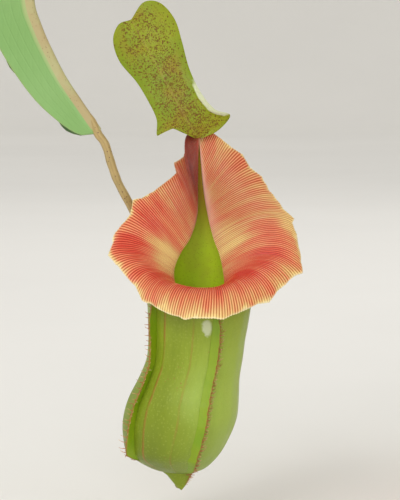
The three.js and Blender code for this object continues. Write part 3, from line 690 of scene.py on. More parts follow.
def add_wing(build, wing, draw, hairs, hair_length):
    """A thin wing with an uneven, thicker rim, and its hairs, which bend to either side in turn."""
    strip, spots = [], []
    for k in range(WING_ROWS + 1):
        foot, out, reach, across = wing_station(wing, k / WING_ROWS)
        reach = reach + 0.12 * math.sin(k * 1.9) + 0.1 * math.sin(k * 0.83)
        half = [(0.3 * reach, 0.36), (0.75 * reach, 0.3), (reach - 0.25, 0.42), (reach, 0.26)]
        mirrored = [(a, -b) for a, b in reversed(half)]
        shape = [(-0.8, -0.6), (-0.8, 0.6), *half, (reach + 0.1, 0), *mirrored]
        strip.append([foot + out * a + across * b for a, b in shape])
        spots.append([(max(a, 0) / reach * 0.97, k / WING_ROWS) for a, _ in shape])
    build.loft(np.array(strip), uv=np.array(spots), paint=WING)
    hairs = int(hairs * wing["fringe"])
    for k in range(hairs):
        i = (k + 0.8 * draw.random()) / hairs
        foot, out, reach, across = wing_station(wing, i)
        side = 1 if k % 2 else -1
        aside = across * side * (0.35 + 0.5 * draw.random())
        way = unit(out + aside + np.array([0, 0, 0.5 * draw.random() - 0.2]))
        rising = np.array([0, 0, 1.3]) * (draw.random() - 0.15)
        bend = rising + across * side * 0.5 - out * 0.5 * draw.random()
        length = hair_length * (0.55 + 0.6 * draw.random()) * (0.75 if i < 0.12 else 1)
        bent_hair(build, foot + out * (reach - 0.2), way, bend, length, WING_HAIR_R)


def add_keel(build, draw, hairs):
    """The pointed keel in which the wings meet below the cup, with a tuft of short hairs on its right."""
    turn = turns(KEEL_SIDES)
    rings = [
        np.stack([x + w * np.cos(turn), y + (0.3 + 0.5 * w) * np.sin(turn), z + 0 * turn], axis=-1)
        for x, y, z, w in spread(np.array(KEEL_RINGS), KEEL_ROWS)
    ]
    uv = np.stack(np.broadcast_arrays(0.93, np.linspace(0, 0.9, len(rings))[:, None] + 0 * turn), axis=-1)
    build.loft(np.array(rings), uv=uv, paint=SKIN)
    for _ in range(hairs):
        down = draw.random()
        root = np.array([mix(-5.4, -2.6, down), mix(2.4, 1, down), mix(-0.4, 4.6, down)])
        way = unit(np.array([0.7 + 0.3 * draw.random(), -0.5, -0.7 * draw.random()]))
        bend = np.array([0.3, 0, 0.7 * draw.random()])
        bent_hair(build, root, way, bend, 1.0 + draw.random(), KEEL_HAIR_R)


def cup_mesh(branch, seed, hairs, hair_length, name):
    """A cup: its skin and lining, which meet at the rim, its tail, two wings and the keel below them."""
    draw = np.random.default_rng(seed)
    u = np.arange(CUP_SIDES) / CUP_SIDES
    turn = TAU * u
    rings = through(CUP_RINGS, np.linspace(0, 1, CUP_ROWS))
    top = CUP_RINGS[-1]
    build = Build()

    def bulge(z):
        """How far the cup's left side swells out at height z."""
        return 1.6 * np.exp(-(((u - 0.77) / 0.075) ** 2) - ((z - 26) / 18) ** 2)

    def shoulder(side):
        """The rings from the highest round one out to the rim."""
        foot = ring_point(top, turn, 0 if side > 0 else CUP_WALL)
        rim = cup_rim(u, side, RIM_GAP / branch["scale"])
        bend = np.stack([foot[:, 0], foot[:, 1], (foot[:, 2] + rim[:, 2]) / 2], axis=-1)
        rise = np.linspace(0, 1, SHOULDER_ROWS + 1)[1:]
        return [(1 - t) ** 2 * foot + 2 * t * (1 - t) * bend + t * t * rim for t in rise]

    def wrapped(rows, paint, caps):
        """A loft round the cup. Its UVs are the place round it and the height in hundredths of a metre."""
        uv = np.stack([np.broadcast_to(u, rows.shape[:2]), rows[..., 2] / 10], axis=-1)
        build.loft(rows, uv=uv, paint=paint, caps=caps)
        build.uvs[-1 - sum(caps)].reshape(len(rows) - 1, CUP_SIDES, 4, 2)[:, -1, 1:3, 0] = 1

    # slight flutes run down the skin
    flute = 0.07 * np.sin(turn * 9 + 0.6) + 0.04 * np.sin(turn * 23)
    outer = [ring_point(ring, turn, 0.12 + flute * min(1, ring[3] / 20) - bulge(ring[0])) for ring in rings]
    inner = [ring_point(ring, turn, CUP_WALL) for ring in rings[LINING_FROM::2]]
    skin = np.array(outer + shoulder(1))
    lining = np.array(inner + shoulder(-1))
    wrapped(skin, SKIN, (True, False))
    wrapped(lining[::-1], LINING, (False, True))
    # the wall's top edge joins the skin's last ring to the lining's, which comes after the skin's cap
    edge_out = (len(skin) - 1) * CUP_SIDES + np.arange(CUP_SIDES)
    edge_in = len(skin) * CUP_SIDES + 1 + np.arange(CUP_SIDES)
    build.faces.append(np.stack([edge_out, np.roll(edge_out, -1), np.roll(edge_in, -1), edge_in], axis=1))
    rim_height = np.array([skin[-1], lining[-1]])[..., 2].mean()
    build.uvs.append(np.full((CUP_SIDES, 4, 2), (0.5, rim_height / 10)))
    build.paint.append(np.full(CUP_SIDES, LINING))
    build.taper(CUP_TAIL, 16, *CUP_TAIL_R, 20, paint=SKIN)
    for wing in WINGS:
        add_wing(build, wing, draw, hairs, hair_length)
    add_keel(build, draw, hairs // 3)
    made = build.mesh(name, lambda q: branch_home(branch, q, own=True), soft=60)
    for kind, rows in CUP_TINTS.items():
        give_values(made, kind, patches_at(u, skin[..., 2] / 10, rows))
    return made


# ---------------------------------------------------------------- lid


def lid_point(m, b):
    """The lid's middle surface at m along its keel and b out from it, -1 to 1. Gives (m, b, 3)."""
    keel = through(LID_KEEL, m)[:, 0][:, None]
    right = through(LID_RIGHT, m)
    left = through(LID_LEFT, m)
    on_right = b[None, :] >= 0
    edge = np.where(on_right, right[:, :1], left[:, :1])
    out = np.where(on_right, right[:, 1:], left[:, 1:])
    far = np.abs(b)[None, :]
    along = mix(keel, edge, far)
    across = out * far
    lean = -3 * np.sin(math.pi * clamp01(along / 30)) + 6 * smooth(clamp01(along / 57)) + 0.012 * across**2
    drawn = LID_BASE + along[..., None] * LID_ALONG + across[..., None] * LID_ACROSS
    drawn[..., 1] += lean
    return from_view(drawn)


def lid_mesh(branch, name):
    """A lid with its keel raised and its lower right margin rolled forward, its stalk and its spur."""
    m = mix(0.02, 0.98, np.linspace(0, 1, LID_ROWS + 1))
    b = np.linspace(-1, 1, LID_COLUMNS + 1)
    b = b + 0.06 * np.sin(math.pi * b)
    slim = mix(0.5, 1, smooth(clamp01((1 - np.abs(b)) / 0.08)))[None, :]
    slim = slim * mix(0.6, 1, smooth(clamp01(np.minimum(m, 1 - m) / 0.08)))[:, None]
    half = LID_THICK / 2 * slim
    raised = 0.14 * np.exp(-((b[None, :] / 0.05) ** 2)) + 0.05 * np.cos(TAU * 4 * b)[None, :]
    roll = smooth(clamp01((b[None, :] - 0.68) / 0.24)) * smooth(clamp01((m[:, None] - 0.16) / 0.1))
    roll = roll * (1 - smooth(clamp01((m[:, None] - 0.38) / 0.14)))
    front, back = lid_point(m, b), lid_point(m, b)
    front[..., 1] -= half + raised * slim
    back[..., 1] += half
    for face in (front, back):
        face[..., 1] -= 1.5 * roll
        face[..., 0] -= 0.25 * roll
    both = np.concatenate([b, b[::-1]])
    uv = np.stack(np.broadcast_arrays(both[None, :] / 2 + 0.5, m[:, None]), axis=-1)
    build = Build()
    build.loft(np.concatenate([front, back[:, ::-1]], axis=1), uv=uv)
    build.taper(LID_STALK, 10, 1.1, 1.5, 16)
    build.taper(LID_SPUR, 14, 1.3, 0.4, 14, paint=1)
    made = build.mesh(name, lambda q: branch_home(branch, q, own=True), soft=60)
    give_values(made, "rolled", np.concatenate([roll, roll[:, ::-1]], axis=1))
    return made


# ---------------------------------------------------------------- leaves and tendrils


def blade_half(t, power):
    """The half width of a blade along its leaf, from 0 at the stalk to 1 at its widest."""
    q = clamp01((t - PETIOLE_SHARE) / (1 - PETIOLE_SHARE))
    return np.sin(math.pi * q**0.85) ** mix(1.4, power, smooth(q))


def fold_at(t, open_fold, tip_fold):
    """Half the angle between a leaf's two halves, from the stem to the tip."""
    base = mix(1.4, 0.75, smooth(clamp01(t / 0.12)))
    opened = mix(base, open_fold, smooth(clamp01((t - 0.15) / 0.3)))
    return mix(opened, tip_fold, smooth(clamp01((t - 0.6) / 0.25)))


def upper_side(way):
    """Square to a leaf's way and upright with it."""
    return unit(np.array([way[2], 0, -way[0]]))


def leaf_ring(p, way, t, leaf):
    """A leaf's cross-section at share t of its length, and where each point is across it, from 0 to 1."""
    face = upper_side(way)
    side = unit(np.cross(way, face))
    fold = float(fold_at(t, leaf["open"], leaf["tip"]))
    end = 1 - smooth(clamp01((t - 0.9) / 0.1))
    blade = float(blade_half(t, leaf["power"]))
    width = math.hypot(PETIOLE_HALF * leaf["scale"] * end, leaf["half"] * blade) + 1.2 * (1 - end)
    stray = sum(far * math.exp(-(((t - place) / 0.015) ** 2)) for place, far in leaf.get("stray", ()))
    rib = mix(LEAF_RIB_R, RIB_END_R, t) * leaf["scale"]
    half = BLADE_THICK / 2

    def at(sign, share, lift):
        """Points on the half at sign, at shares of its width, lifted off its middle surface."""
        out = face * math.cos(fold) + side * sign * math.sin(fold)
        skin = face * math.sin(fold) - side * sign * math.cos(fold)
        wave = leaf["wave"] * blade * math.sin(LEAF_WAVES * t * TAU + leaf["phase"] + sign)
        wide = width + (stray if sign > 0 else 0)
        up = lift * (1 - 0.4 * share**6) + wave * share**2
        return p + out * (wide * share)[:, None] + skin * up[:, None]

    def below(aside, down):
        return p + side * aside * rib - face * down * rib

    near = min(0.5, (half / math.tan(fold) + 0.9) / width)
    far = min(0.5, 1.35 * rib / width)
    top_share = np.linspace(1, near, LEAF_COLUMNS)
    low_share = np.linspace(1, far, LEAF_COLUMNS)
    valley = p + face * half / math.sin(fold)
    right, left = at(1, low_share, -half), at(-1, low_share[::-1], -half)
    hooked = np.array([right[-1], below(0.75, 0.9), below(0, 1.5), below(-0.75, 0.9), left[0]])
    round_rib = np.linspace(0, 1, RIB_COLUMNS + 2)[1:-1]
    ring = [
        at(-1, top_share, half), valley[None], at(1, top_share[::-1], half),
        right, through(hooked, round_rib), left,
    ]
    across = [
        0.5 - top_share / 2, [0.5], 0.5 + top_share[::-1] / 2,
        0.5 + low_share / 2, mix(0.5 + far / 2, 0.5 - far / 2, round_rib), 0.5 - low_share[::-1] / 2,
    ]
    return np.vstack(ring), np.concatenate(across)


def leaf_mesh(spine, leaf, home, name):
    """A folded blade with its rib beneath. Its upper face has paint 0, its underside 1 and its rib 2."""
    t = np.arange(len(spine)) / (len(spine) - 1)
    cuts = [leaf_ring(p, way, share, leaf) for p, way, share in zip(spine, headings(spine), t)]
    rings, across = (np.array(rows) for rows in zip(*cuts))
    build = Build()
    build.loft(rings, uv=np.stack(np.broadcast_arrays(across, t[:, None]), axis=-1))
    paint = build.paint[0].reshape(len(spine) - 1, -1)
    rib_from = 3 * LEAF_COLUMNS + 3
    paint[:] = 1
    paint[:, : 2 * LEAF_COLUMNS] = 0
    paint[:, rib_from : rib_from + RIB_PAINTED] = 2
    return build.mesh(name, home, soft=50)


def bearing_spine(branch, count):
    clear = (stem_radius(leaf_z(branch["leaf_no"])) + STEM_CLEAR) / branch["scale"]
    start = [STEM_LOCAL[0] - clear, 0, STEM_LOCAL[2] + 2]
    rows = np.array(BEARING_SPINE, float)
    rows[:, 1] += branch["sway"] * np.sin(math.pi * np.arange(len(rows)) / len(rows))
    return evenly(np.vstack([start, from_view(rows)]), count)


def rooted(line, radius, leaf_end, way, rib):
    """A tendril's line and radius with a tapered root that runs up into the leaf's rib."""
    face = upper_side(way)
    root = [leaf_end - way * back - face * rib * down for back, down in ((9, 0.95), (5, 0.8), (1.5, 0.35))]
    joined = np.vstack([root, line[3:]])
    early = spread(joined[:6], 14)
    stages = [0.5 * rib, 0.8 * rib, radius[0], radius[5]]
    girth = np.interp(np.linspace(0, 1, 15), [0, 0.25, 0.6, 1], stages)
    return np.vstack([early, joined[6:]]), np.concatenate([girth, radius[6:]])


def bearing_tendril_line(branch, count):
    rows = from_view(np.array(TENDRIL_LINE, float))
    follow = smooth(clamp01((np.arange(len(rows)) - 2) / 5)) * branch["turn"]
    rows = np.array([spun(row, a) for row, a in zip(rows, follow)])
    return through(rows, np.linspace(0, 1, count + 1))


def barren_spine(drift, length, high, low, start, spans):
    """A line that leaves start at the angle high above the ground, and bends to the angle low."""
    points = [np.array(start, float)]
    for i in range(spans):
        angle = math.radians(mix(high, low, smooth((i + 0.5) / spans)))
        way = unit(np.array([-math.cos(angle), drift * math.sin(math.pi * i / spans), math.sin(angle)]))
        points.append(points[-1] + way * length / spans)
    return np.array(points)


def barren_line(branch):
    start = [-(stem_radius(leaf_z(branch["leaf_no"])) + STEM_CLEAR), 0, 0]
    return barren_spine(branch["drift"], branch["length"], branch["rise"], branch["droop"], start, 15)


def budded_line(branch):
    """The tendril of a barren leaf, which hangs down and turns up at its bud, and the way the leaf ends."""
    spine = barren_line(branch)
    way = headings(spine)[-1]
    droop = math.degrees(math.atan2(way[2], -way[0]))
    down = barren_spine(0, branch["tendril"] * 0.62, droop, -88, spine[-1] + way * 0.3, 8)
    up = barren_spine(0, branch["tendril"] * 0.38, -88, 75, down[-1], 8)
    return np.vstack([down, up[1:]]), way


# ---------------------------------------------------------------- pot, mix and stem


def pot_inside(z):
    return mix(POT_FOOT_R, POT_RIM_R - 1, z / POT_HEIGHT) - POT_WALL


def pot_wall_at(z):
    return mix(POT_FOOT_R, POT_RIM_R - RIM_STEP, z / (POT_HEIGHT - RIM_BAND))


def rounded(profile, corner, steps=5):
    """A line of straight runs with its corners rounded."""
    profile = np.array(profile, float)
    rows = [profile[0]]
    for before, here, after in zip(profile[:-2], profile[1:-1], profile[2:]):
        one, two = before - here, after - here
        cut = min(corner, np.linalg.norm(one) * 0.45, np.linalg.norm(two) * 0.45)
        a, b = here + unit(one) * cut, here + unit(two) * cut
        t = np.linspace(0, 1, steps + 1)[:, None]
        rows.extend((1 - t) ** 2 * a + 2 * t * (1 - t) * here + t * t * b)
    rows.append(profile[-1])
    return np.array(rows)


def pot_profile():
    """The pot's outline from the middle of its foot up the outside and down the inside, in short steps."""
    under = POT_HEIGHT - RIM_BAND
    corners = [
        (AXIS_R, 0), (POT_FOOT_R - 1.5, 0), (POT_FOOT_R, 1.5), (pot_wall_at(under), under),
        (POT_RIM_R - 1, under + 0.6), (POT_RIM_R, POT_HEIGHT - 2), (POT_RIM_R - 1.5, POT_HEIGHT),
        (pot_inside(POT_HEIGHT) + 1.5, POT_HEIGHT), (pot_inside(POT_HEIGHT - 2), POT_HEIGHT - 2),
        (pot_inside(POT_FLOOR), POT_FLOOR), (AXIS_R, POT_FLOOR),
    ]
    line = rounded(corners, 1.6)
    rows = []
    for a, b in zip(line[:-1], line[1:]):
        spans = max(1, int(np.linalg.norm(b - a) / POT_STEP))
        rows.extend(mix(a, b, k / spans) for k in range(spans))
    return np.array([*rows, line[-1]])


def pot_mesh(name):
    rows = pot_profile()
    turn = turns(POT_SIDES)
    # shallow throwing lines ring the wall, and the pot is a little out of round
    wall = (rows[:, 1] > 2) & (rows[:, 0] > pot_inside(rows[:, 1]) + 2)
    lines = np.where(wall, 0.07 * np.sin(rows[:, 1] * 2.4) + 0.05 * np.sin(rows[:, 1] * 0.9 + 1), 0) - 0.12
    oval = 0.12 * np.sin(2 * turn + 0.5) + 0.06 * np.sin(5 * turn)
    rings = []
    for (r, z), line, on_wall in zip(rows, lines, wall):
        rr = r + (line + (oval if on_wall else 0) if r > 1 else 0) + 0 * turn
        rings.append(hoop(rr, z, turn))
    body = add_object(Build().loft(np.array(rings)).mesh(name + "_thrown", soft=40))
    cutters = []
    for x, y, _ in hoop(DRAIN_RING, 0, turns(DRAINS)):
        cut = Build().bar([[x, y, -5], [x, y, 20]], DRAIN_R, DRAIN_SIDES)
        cutters.append(add_object(cut.mesh("drain_cut")))
        hole = body.modifiers.new("drain", "BOOLEAN")
        hole.object, hole.operation, hole.solver = cutters[-1], "DIFFERENCE", "EXACT"
    shaped = bpy.data.meshes.new_from_object(body.evaluated_get(bpy.context.evaluated_depsgraph_get()))
    shaped.name = name
    for gone in [body, *cutters]:
        bpy.data.objects.remove(gone)
    return shaped


def add_chip(build, centre, size, turn, tilt, draw, paint, bluntness):
    """A rough lump with blunt corners: a bark chip, or a rounder grain."""
    a = turns(CHIP_SIDES)

    def blunt(v):
        return np.sign(v) * np.abs(v) ** (2 / bluntness)

    rings = []
    for k in range(CHIP_ROWS):
        up = mix(-0.42, 0.42, k / (CHIP_ROWS - 1)) * math.pi
        wide = math.cos(up) ** 0.5
        ring = np.stack([blunt(np.cos(a)) * wide, blunt(np.sin(a)) * wide, 0 * a + math.sin(up)], axis=-1)
        swell = 1 + 0.16 * (draw.random((CHIP_SIDES, 1)) - 0.5)
        rings.append(ring * swell + 0.08 * (draw.random((CHIP_SIDES, 3)) - 0.5))
    x, y, z = np.moveaxis(np.array(rings) * np.array(size) / 2, -1, 0)
    c, s = math.cos(tilt), math.sin(tilt)
    shape = spun(np.stack([x * c + z * s, y, z * c - x * s], axis=-1), turn) + centre
    build.loft(shape, paint=paint, uv=np.full(shape.shape[:2] + (2,), draw.random()))


def mix_mesh(chips, grains, seed, name):
    """The potting mix and its uneven top, with bark chips (paint 0) and white grains (paint 1) on it."""
    draw = np.random.default_rng(seed)
    edge = pot_inside(SOIL_TOP) - MIX_GAP
    hole = STEM_R + 0.65
    turn = turns(MIX_SIDES)

    def ring(r, z, lump=0.0):
        lumps = lump * (np.sin(5 * turn + r) * np.sin(0.31 * r) + 0.6 * np.sin(11 * turn - 0.7 * r))
        return hoop(r, z + lumps, turn)

    rings = [
        ring(pot_inside(POT_FLOOR) - MIX_GAP, POT_FLOOR + 0.3),
        ring(edge, SOIL_TOP - 2.5),
        *(ring(r, SOIL_TOP - 1.2, 0.8) for r in np.linspace(edge - 1, hole + 1, 24)),
        ring(hole, SOIL_TOP - 1.6),
        ring(hole, STEM_FOOT_Z - 0.3),
    ]
    build = Build()
    build.loft(np.array(rings), uv=np.full((len(rings), MIX_SIDES, 2), 0.12))

    def place(reach):
        r = mix(hole + 3, edge - reach, math.sqrt(draw.random()))
        a = TAU * draw.random()
        return np.array([r * math.cos(a), r * math.sin(a), 0.0])

    for _ in range(chips):
        long = 5 + 8 * draw.random()
        size = (long, long * mix(0.4, 0.75, draw.random()), mix(1.6, 3.4, draw.random()))
        at = place(long / 2 + 0.6) + [0, 0, SOIL_TOP - 0.4 + 2.4 * draw.random()]
        add_chip(build, at, size, TAU * draw.random(), 0.5 * (draw.random() - 0.5), draw, 0, 3.2)
    for _ in range(grains):
        size = np.array([1.0, 0.9, 0.8]) * mix(1.4, 3.4, draw.random())
        at = place(2.4) + [0, 0, SOIL_TOP + 0.4 + 2.2 * draw.random()]
        add_chip(build, at, size, TAU * draw.random(), 0, draw, 1, 2.2)
    return build.mesh(name, soft=35)


def stem_mesh(name):
    """The stem, with a raised scar round it where each old leaf was."""
    turn = turns(STEM_SIDES)
    rings = []
    for height in np.linspace(STEM_FOOT_Z, STEM_TOP_Z, STEM_ROWS + 1):
        place = ((height - STEM_FOOT_Z) % SCAR_STEP) / SCAR_STEP
        scar = 0.28 * math.exp(-(((place - 0.5) / 0.1) ** 2))
        ridge = 0.1 * np.sin(5 * turn + height * 0.12) + 0.05 * np.sin(13 * turn)
        rings.append(hoop(stem_radius(height) - 0.3 + scar + ridge, height, turn))
    return Build().loft(np.array(rings)).mesh(name, soft=60)


# ---------------------------------------------------------------- node groups and materials

# A screen's levels up to this one, of 255, go up in a straight line.
BLACK_TOE = 10.3


def srgb(*levels):
    """A screen colour's red, green and blue, 0 to 255, as the linear colour that Blender's sockets hold."""
    linear = [v / 255 / 12.92 if v <= BLACK_TOE else ((v / 255 + 0.055) / 1.055) ** 2.4 for v in levels]
    return (*linear, 1.0)


class Tree:
    """Short ways to make and join the nodes of one node tree."""

    def __init__(self, tree):
        self.tree = tree

    def node(self, kind, *values, **settings):
        """A node of a kind. Values fill its sockets in order, and a word with a capital names a socket."""
        made = self.tree.nodes.new(kind)
        named = {key: settings.pop(key) for key in list(settings) if key[0].isupper()}
        for key, value in settings.items():
            setattr(made, key, value)
        for place, value in enumerate(values):
            self.put(made.inputs[place], value)
        for key, value in named.items():
            self.put(made.inputs[key], value)
        return made

    def put(self, socket, value):
        if isinstance(value, bpy.types.NodeSocket):
            self.tree.links.new(value, socket)
        else:
            socket.default_value = value

    def math(self, operation, a, b=0.5, clamp=False):
        return self.node("ShaderNodeMath", a, b, operation=operation, use_clamp=clamp).outputs[0]

    def times(self, a, b, clamp=False):
        return self.math("MULTIPLY", a, b, clamp)

    def plus(self, a, b):
        return self.math("ADD", a, b)

    def less(self, a, b):
        return self.math("SUBTRACT", a, b)

    def away(self, a, b):
        return self.math("ABSOLUTE", self.less(a, b))

    def vector(self, x, y, z=0.0):
        return self.node("ShaderNodeCombineXYZ", x, y, z).outputs[0]

    def blend(self, share, one, two):
        made = self.node("ShaderNodeMix", data_type="RGBA")
        for place, value in ((0, share), (6, one), (7, two)):
            self.put(made.inputs[place], value)
        return made.outputs[2]

    def ramp(self, value, low, high, to_low=0.0, to_high=1.0):
        """A value eased from to_low to to_high as it goes from low to high."""
        made = self.node("ShaderNodeMapRange", value, low, high, to_low, to_high)
        made.interpolation_type = "SMOOTHSTEP"
        return made.outputs[0]

    def colours(self, value, stops):
        made = self.node("ShaderNodeValToRGB", value)
        band = made.color_ramp
        while len(band.elements) < len(stops):
            band.elements.new(0.5)
        for element, (place, colour) in zip(band.elements, stops):
            element.position, element.color = place, colour
        return made.outputs[0]

    def noise(self, at, scale, detail=3.0, rough=0.55):
        made = self.node("ShaderNodeTexNoise", Vector=at, Scale=scale, Detail=detail, Roughness=rough)
        return made.outputs[0]

    def swing(self, at, scale, detail, size):
        """Noise that goes as far below nought as above it."""
        return self.times(self.less(self.noise(at, scale, detail), 0.5), size)


def node_group(name, inputs, output, make):
    """A shader node group with one number for its output. make(tree, inputs) gives it."""
    tree = bpy.data.node_groups.new(name, "ShaderNodeTree")
    for label, default in inputs:
        kind = "NodeSocketVector" if default is None else "NodeSocketFloat"
        socket = tree.interface.new_socket(name=label, in_out="INPUT", socket_type=kind)
        if default is not None:
            socket.default_value = default
    tree.interface.new_socket(name=output, in_out="OUTPUT", socket_type="NodeSocketFloat")
    inside = tree.nodes.new("NodeGroupInput")
    outside = tree.nodes.new("NodeGroupOutput")
    tree.links.new(make(Tree(tree), inside.outputs), outside.inputs[0])


def patches(t, ins):
    return t.ramp(t.noise(ins["Vector"], ins["Scale"], 4.0), ins["Low"], ins["High"])


def dots(t, ins):
    cells = t.node("ShaderNodeTexVoronoi", Vector=ins["Vector"], Scale=ins["Scale"])
    draw = t.node("ShaderNodeSeparateColor", cells.outputs["Color"]).outputs
    size = t.times(ins["Size"], t.ramp(draw[0], 0.0, 1.0, 0.35, 1.0))
    disc = t.ramp(cells.outputs["Distance"], t.times(size, 0.6), size, 1.0, 0.0)
    return t.times(disc, t.math("LESS_THAN", draw[1], ins["Share"]))


def drawn_line(t, ins):
    place = t.plus(ins["Place"], t.swing(ins["Vector"], ins["Scale"], 2.0, ins["Wander"]))
    return t.ramp(t.away(place, ins["Line"]), 0.0, ins["Width"], 1.0, 0.0)


def stripes(t, ins):
    return t.ramp(t.away(t.math("FRACT", ins["Place"]), 0.5), ins["From"], ins["To"], 1.0, 0.0)


def grain(t, ins):
    fine = t.noise(ins["Vector"], ins["Scale"], 5.0, 0.65)
    coarse = t.noise(ins["Vector"], t.times(ins["Scale"], 0.22), 3.0)
    return t.plus(t.times(fine, 0.6), t.times(coarse, 0.4))


# A socket without a default is the vector.
GROUPS = {
    "Patches": ([("Vector", None), ("Scale", 50), ("Low", 0.4), ("High", 0.6)], "Mask", patches),
    "Dots": ([("Vector", None), ("Scale", 500), ("Size", 0.4), ("Share", 0.7)], "Mask", dots),
    "Drawn line": (
        [("Vector", None), ("Scale", 30), ("Place", 0), ("Line", 0), ("Width", 0.01), ("Wander", 0.0)],
        "Mask", drawn_line,
    ),
    "Stripes": ([("Place", 0), ("From", 0.1), ("To", 0.3)], "Mask", stripes),
    "Grain": ([("Vector", None), ("Scale", 800)], "Height", grain),
}


class Look(Tree):
    """A material in the making: its skin, each point's place (at) and its UV (across, up)."""

    def __init__(self, name):
        self.material = bpy.data.materials.new(name)
        self.material.use_nodes = True
        super().__init__(self.material.node_tree)
        self.skin = self.tree.nodes["Principled BSDF"]
        where = self.node("ShaderNodeTexCoord").outputs
        self.at = where["Object"]
        self.across, self.up = self.node("ShaderNodeSeparateXYZ", where["UV"]).outputs[:2]

    def group(self, name, **values):
        if name not in bpy.data.node_groups:
            node_group(name, *GROUPS[name])
        return self.node("ShaderNodeGroup", node_tree=bpy.data.node_groups[name], **values).outputs[0]

    def patches(self, scale, low=0.35, high=0.65):
        return self.group("Patches", Vector=self.at, Scale=scale, Low=low, High=high)

    def dots(self, scale, size, share):
        return self.group("Dots", Vector=self.at, Scale=scale, Size=size, Share=share)

    def line(self, place, width, wander):
        """A wandering line drawn up the piece where across is place."""
        return self.group("Drawn line", Vector=self.at, Scale=60.0, Place=self.across, Line=place,
                          Width=width, Wander=wander)

    def stripes(self, place, start, end):
        """A stripe on each half number of place, full up to start from its middle and gone at end."""
        return self.group("Stripes", Place=place, From=start, To=end)

    def grain(self, scale):
        return self.group("Grain", Vector=self.at, Scale=scale)

    def cloud(self, scale, to_low, to_high, low=0.3, high=0.7):
        """Soft noise that goes from to_low to to_high."""
        return self.ramp(self.noise(self.at, scale), low, high, to_low, to_high)

    def value(self, name):
        return self.node("ShaderNodeAttribute", attribute_name=name).outputs["Fac"]

    def tint(self, body, name, strength, colour):
        """Lays a colour over body where the mesh's named value asks for it."""
        return self.blend(self.times(self.value(name), strength, True), body, colour)

    def veins(self, vein_end, feather_end):
        """How far out a leaf's point is, its long veins, and the fine ones that slope up from the rib."""
        out = self.times(self.away(self.across, 0.5), 2.0)
        bent = self.times(out, 5.0)
        long_veins = self.stripes(self.plus(bent, 0.5), 0.02, vein_end)
        feather = self.stripes(self.less(self.times(self.up, 60.0), bent), 0.02, feather_end)
        return out, long_veins, feather

    def finish(self, body, rough, height, deep, **values):
        """Joins colour, roughness and bump to the skin, sets its uniform values and gives the material."""
        bump = self.node("ShaderNodeBump", Strength=1.0, Distance=deep, Height=height).outputs[0]
        for key, value in {"Base Color": body, "Roughness": rough, "Normal": bump, **values}.items():
            self.put(self.skin.inputs[key.replace("_", " ")], value)
        return self.material


def flesh(weight, depth=(0.002, 0.002, 0.0008)):
    """How much light goes under a skin, and how deep its red, green and blue go, in metres."""
    return {"Subsurface_Weight": weight, "Subsurface_Radius": depth, "Subsurface_Scale": 1.0}


def clay_look(dyes):
    t = Look("clay_skin")
    height = t.node("ShaderNodeSeparateXYZ", t.at).outputs[2]
    body = t.blend(t.patches(28.0), dyes.clay, srgb(186, 108, 74))
    body = t.blend(t.dots(420.0, 0.35, 0.25), body, srgb(120, 62, 40))
    # mineral crust near the foot and the rim, and a green film above the middle
    crust = t.times(t.patches(46.0, 0.45, 0.72), t.ramp(height, 0.0, 0.05, 0.8, 0.12))
    rim = t.times(t.patches(70.0, 0.42, 0.6), t.ramp(height, 0.1, 0.127, 0.0, 0.7))
    body = t.blend(t.math("MAXIMUM", crust, rim), body, srgb(214, 186, 160))
    green = t.times(t.patches(19.0, 0.52, 0.75), t.ramp(height, 0.05, 0.104, 0.0, 0.4))
    body = t.blend(green, body, srgb(104, 106, 58))
    return t.finish(body, t.cloud(120.0, 0.78, 0.94), t.grain(900.0), 0.0003)


def bark_look(dyes):
    t = Look("bark_skin")
    # each chip has a tone of its own, which its UV holds
    body = t.colours(t.across, [
        (0.0, srgb(46, 29, 18)), (0.35, srgb(84, 52, 30)),
        (0.7, srgb(121, 80, 48)), (1.0, srgb(158, 116, 76)),
    ])
    drawn = t.node("ShaderNodeVectorMath", t.at, (1.0, 0.35, 2.5), operation="MULTIPLY").outputs[0]
    streak = t.noise(drawn, 700.0)
    body = t.blend(t.ramp(streak, 0.45, 0.7, 0.0, 0.6), body, srgb(34, 21, 13))
    body = t.blend(t.times(t.patches(32.0, 0.58, 0.72), 0.55), body, srgb(96, 112, 38))
    return t.finish(body, t.ramp(streak, 0.3, 0.7, 0.75, 0.95), t.grain(1400.0), 0.0006)


def perlite_look(dyes):
    t = Look("perlite_skin")
    body = t.blend(t.patches(300.0, 0.4, 0.7), srgb(232, 228, 216), srgb(190, 180, 160))
    return t.finish(body, t.cloud(900.0, 0.8, 1.0), t.grain(2600.0), 0.0004)


def stem_look(dyes):
    t = Look("stem_skin")
    young = t.ramp(t.plus(t.up, t.times(t.noise(t.at, 60.0), 0.3)), 0.55, 0.95)
    bark = t.blend(t.cloud(260.0, 0.0, 1.0, 0.4, 0.65), srgb(96, 74, 44), srgb(138, 116, 74))
    body = t.blend(young, bark, srgb(112, 130, 52))
    scar = t.stripes(t.times(t.up, (STEM_TOP_Z - STEM_FOOT_Z) / SCAR_STEP), 0.0, 0.16)
    body = t.blend(t.times(scar, 0.5), body, srgb(70, 50, 28))
    return t.finish(body, t.cloud(200.0, 0.5, 0.75), t.grain(1100.0), 0.0003)


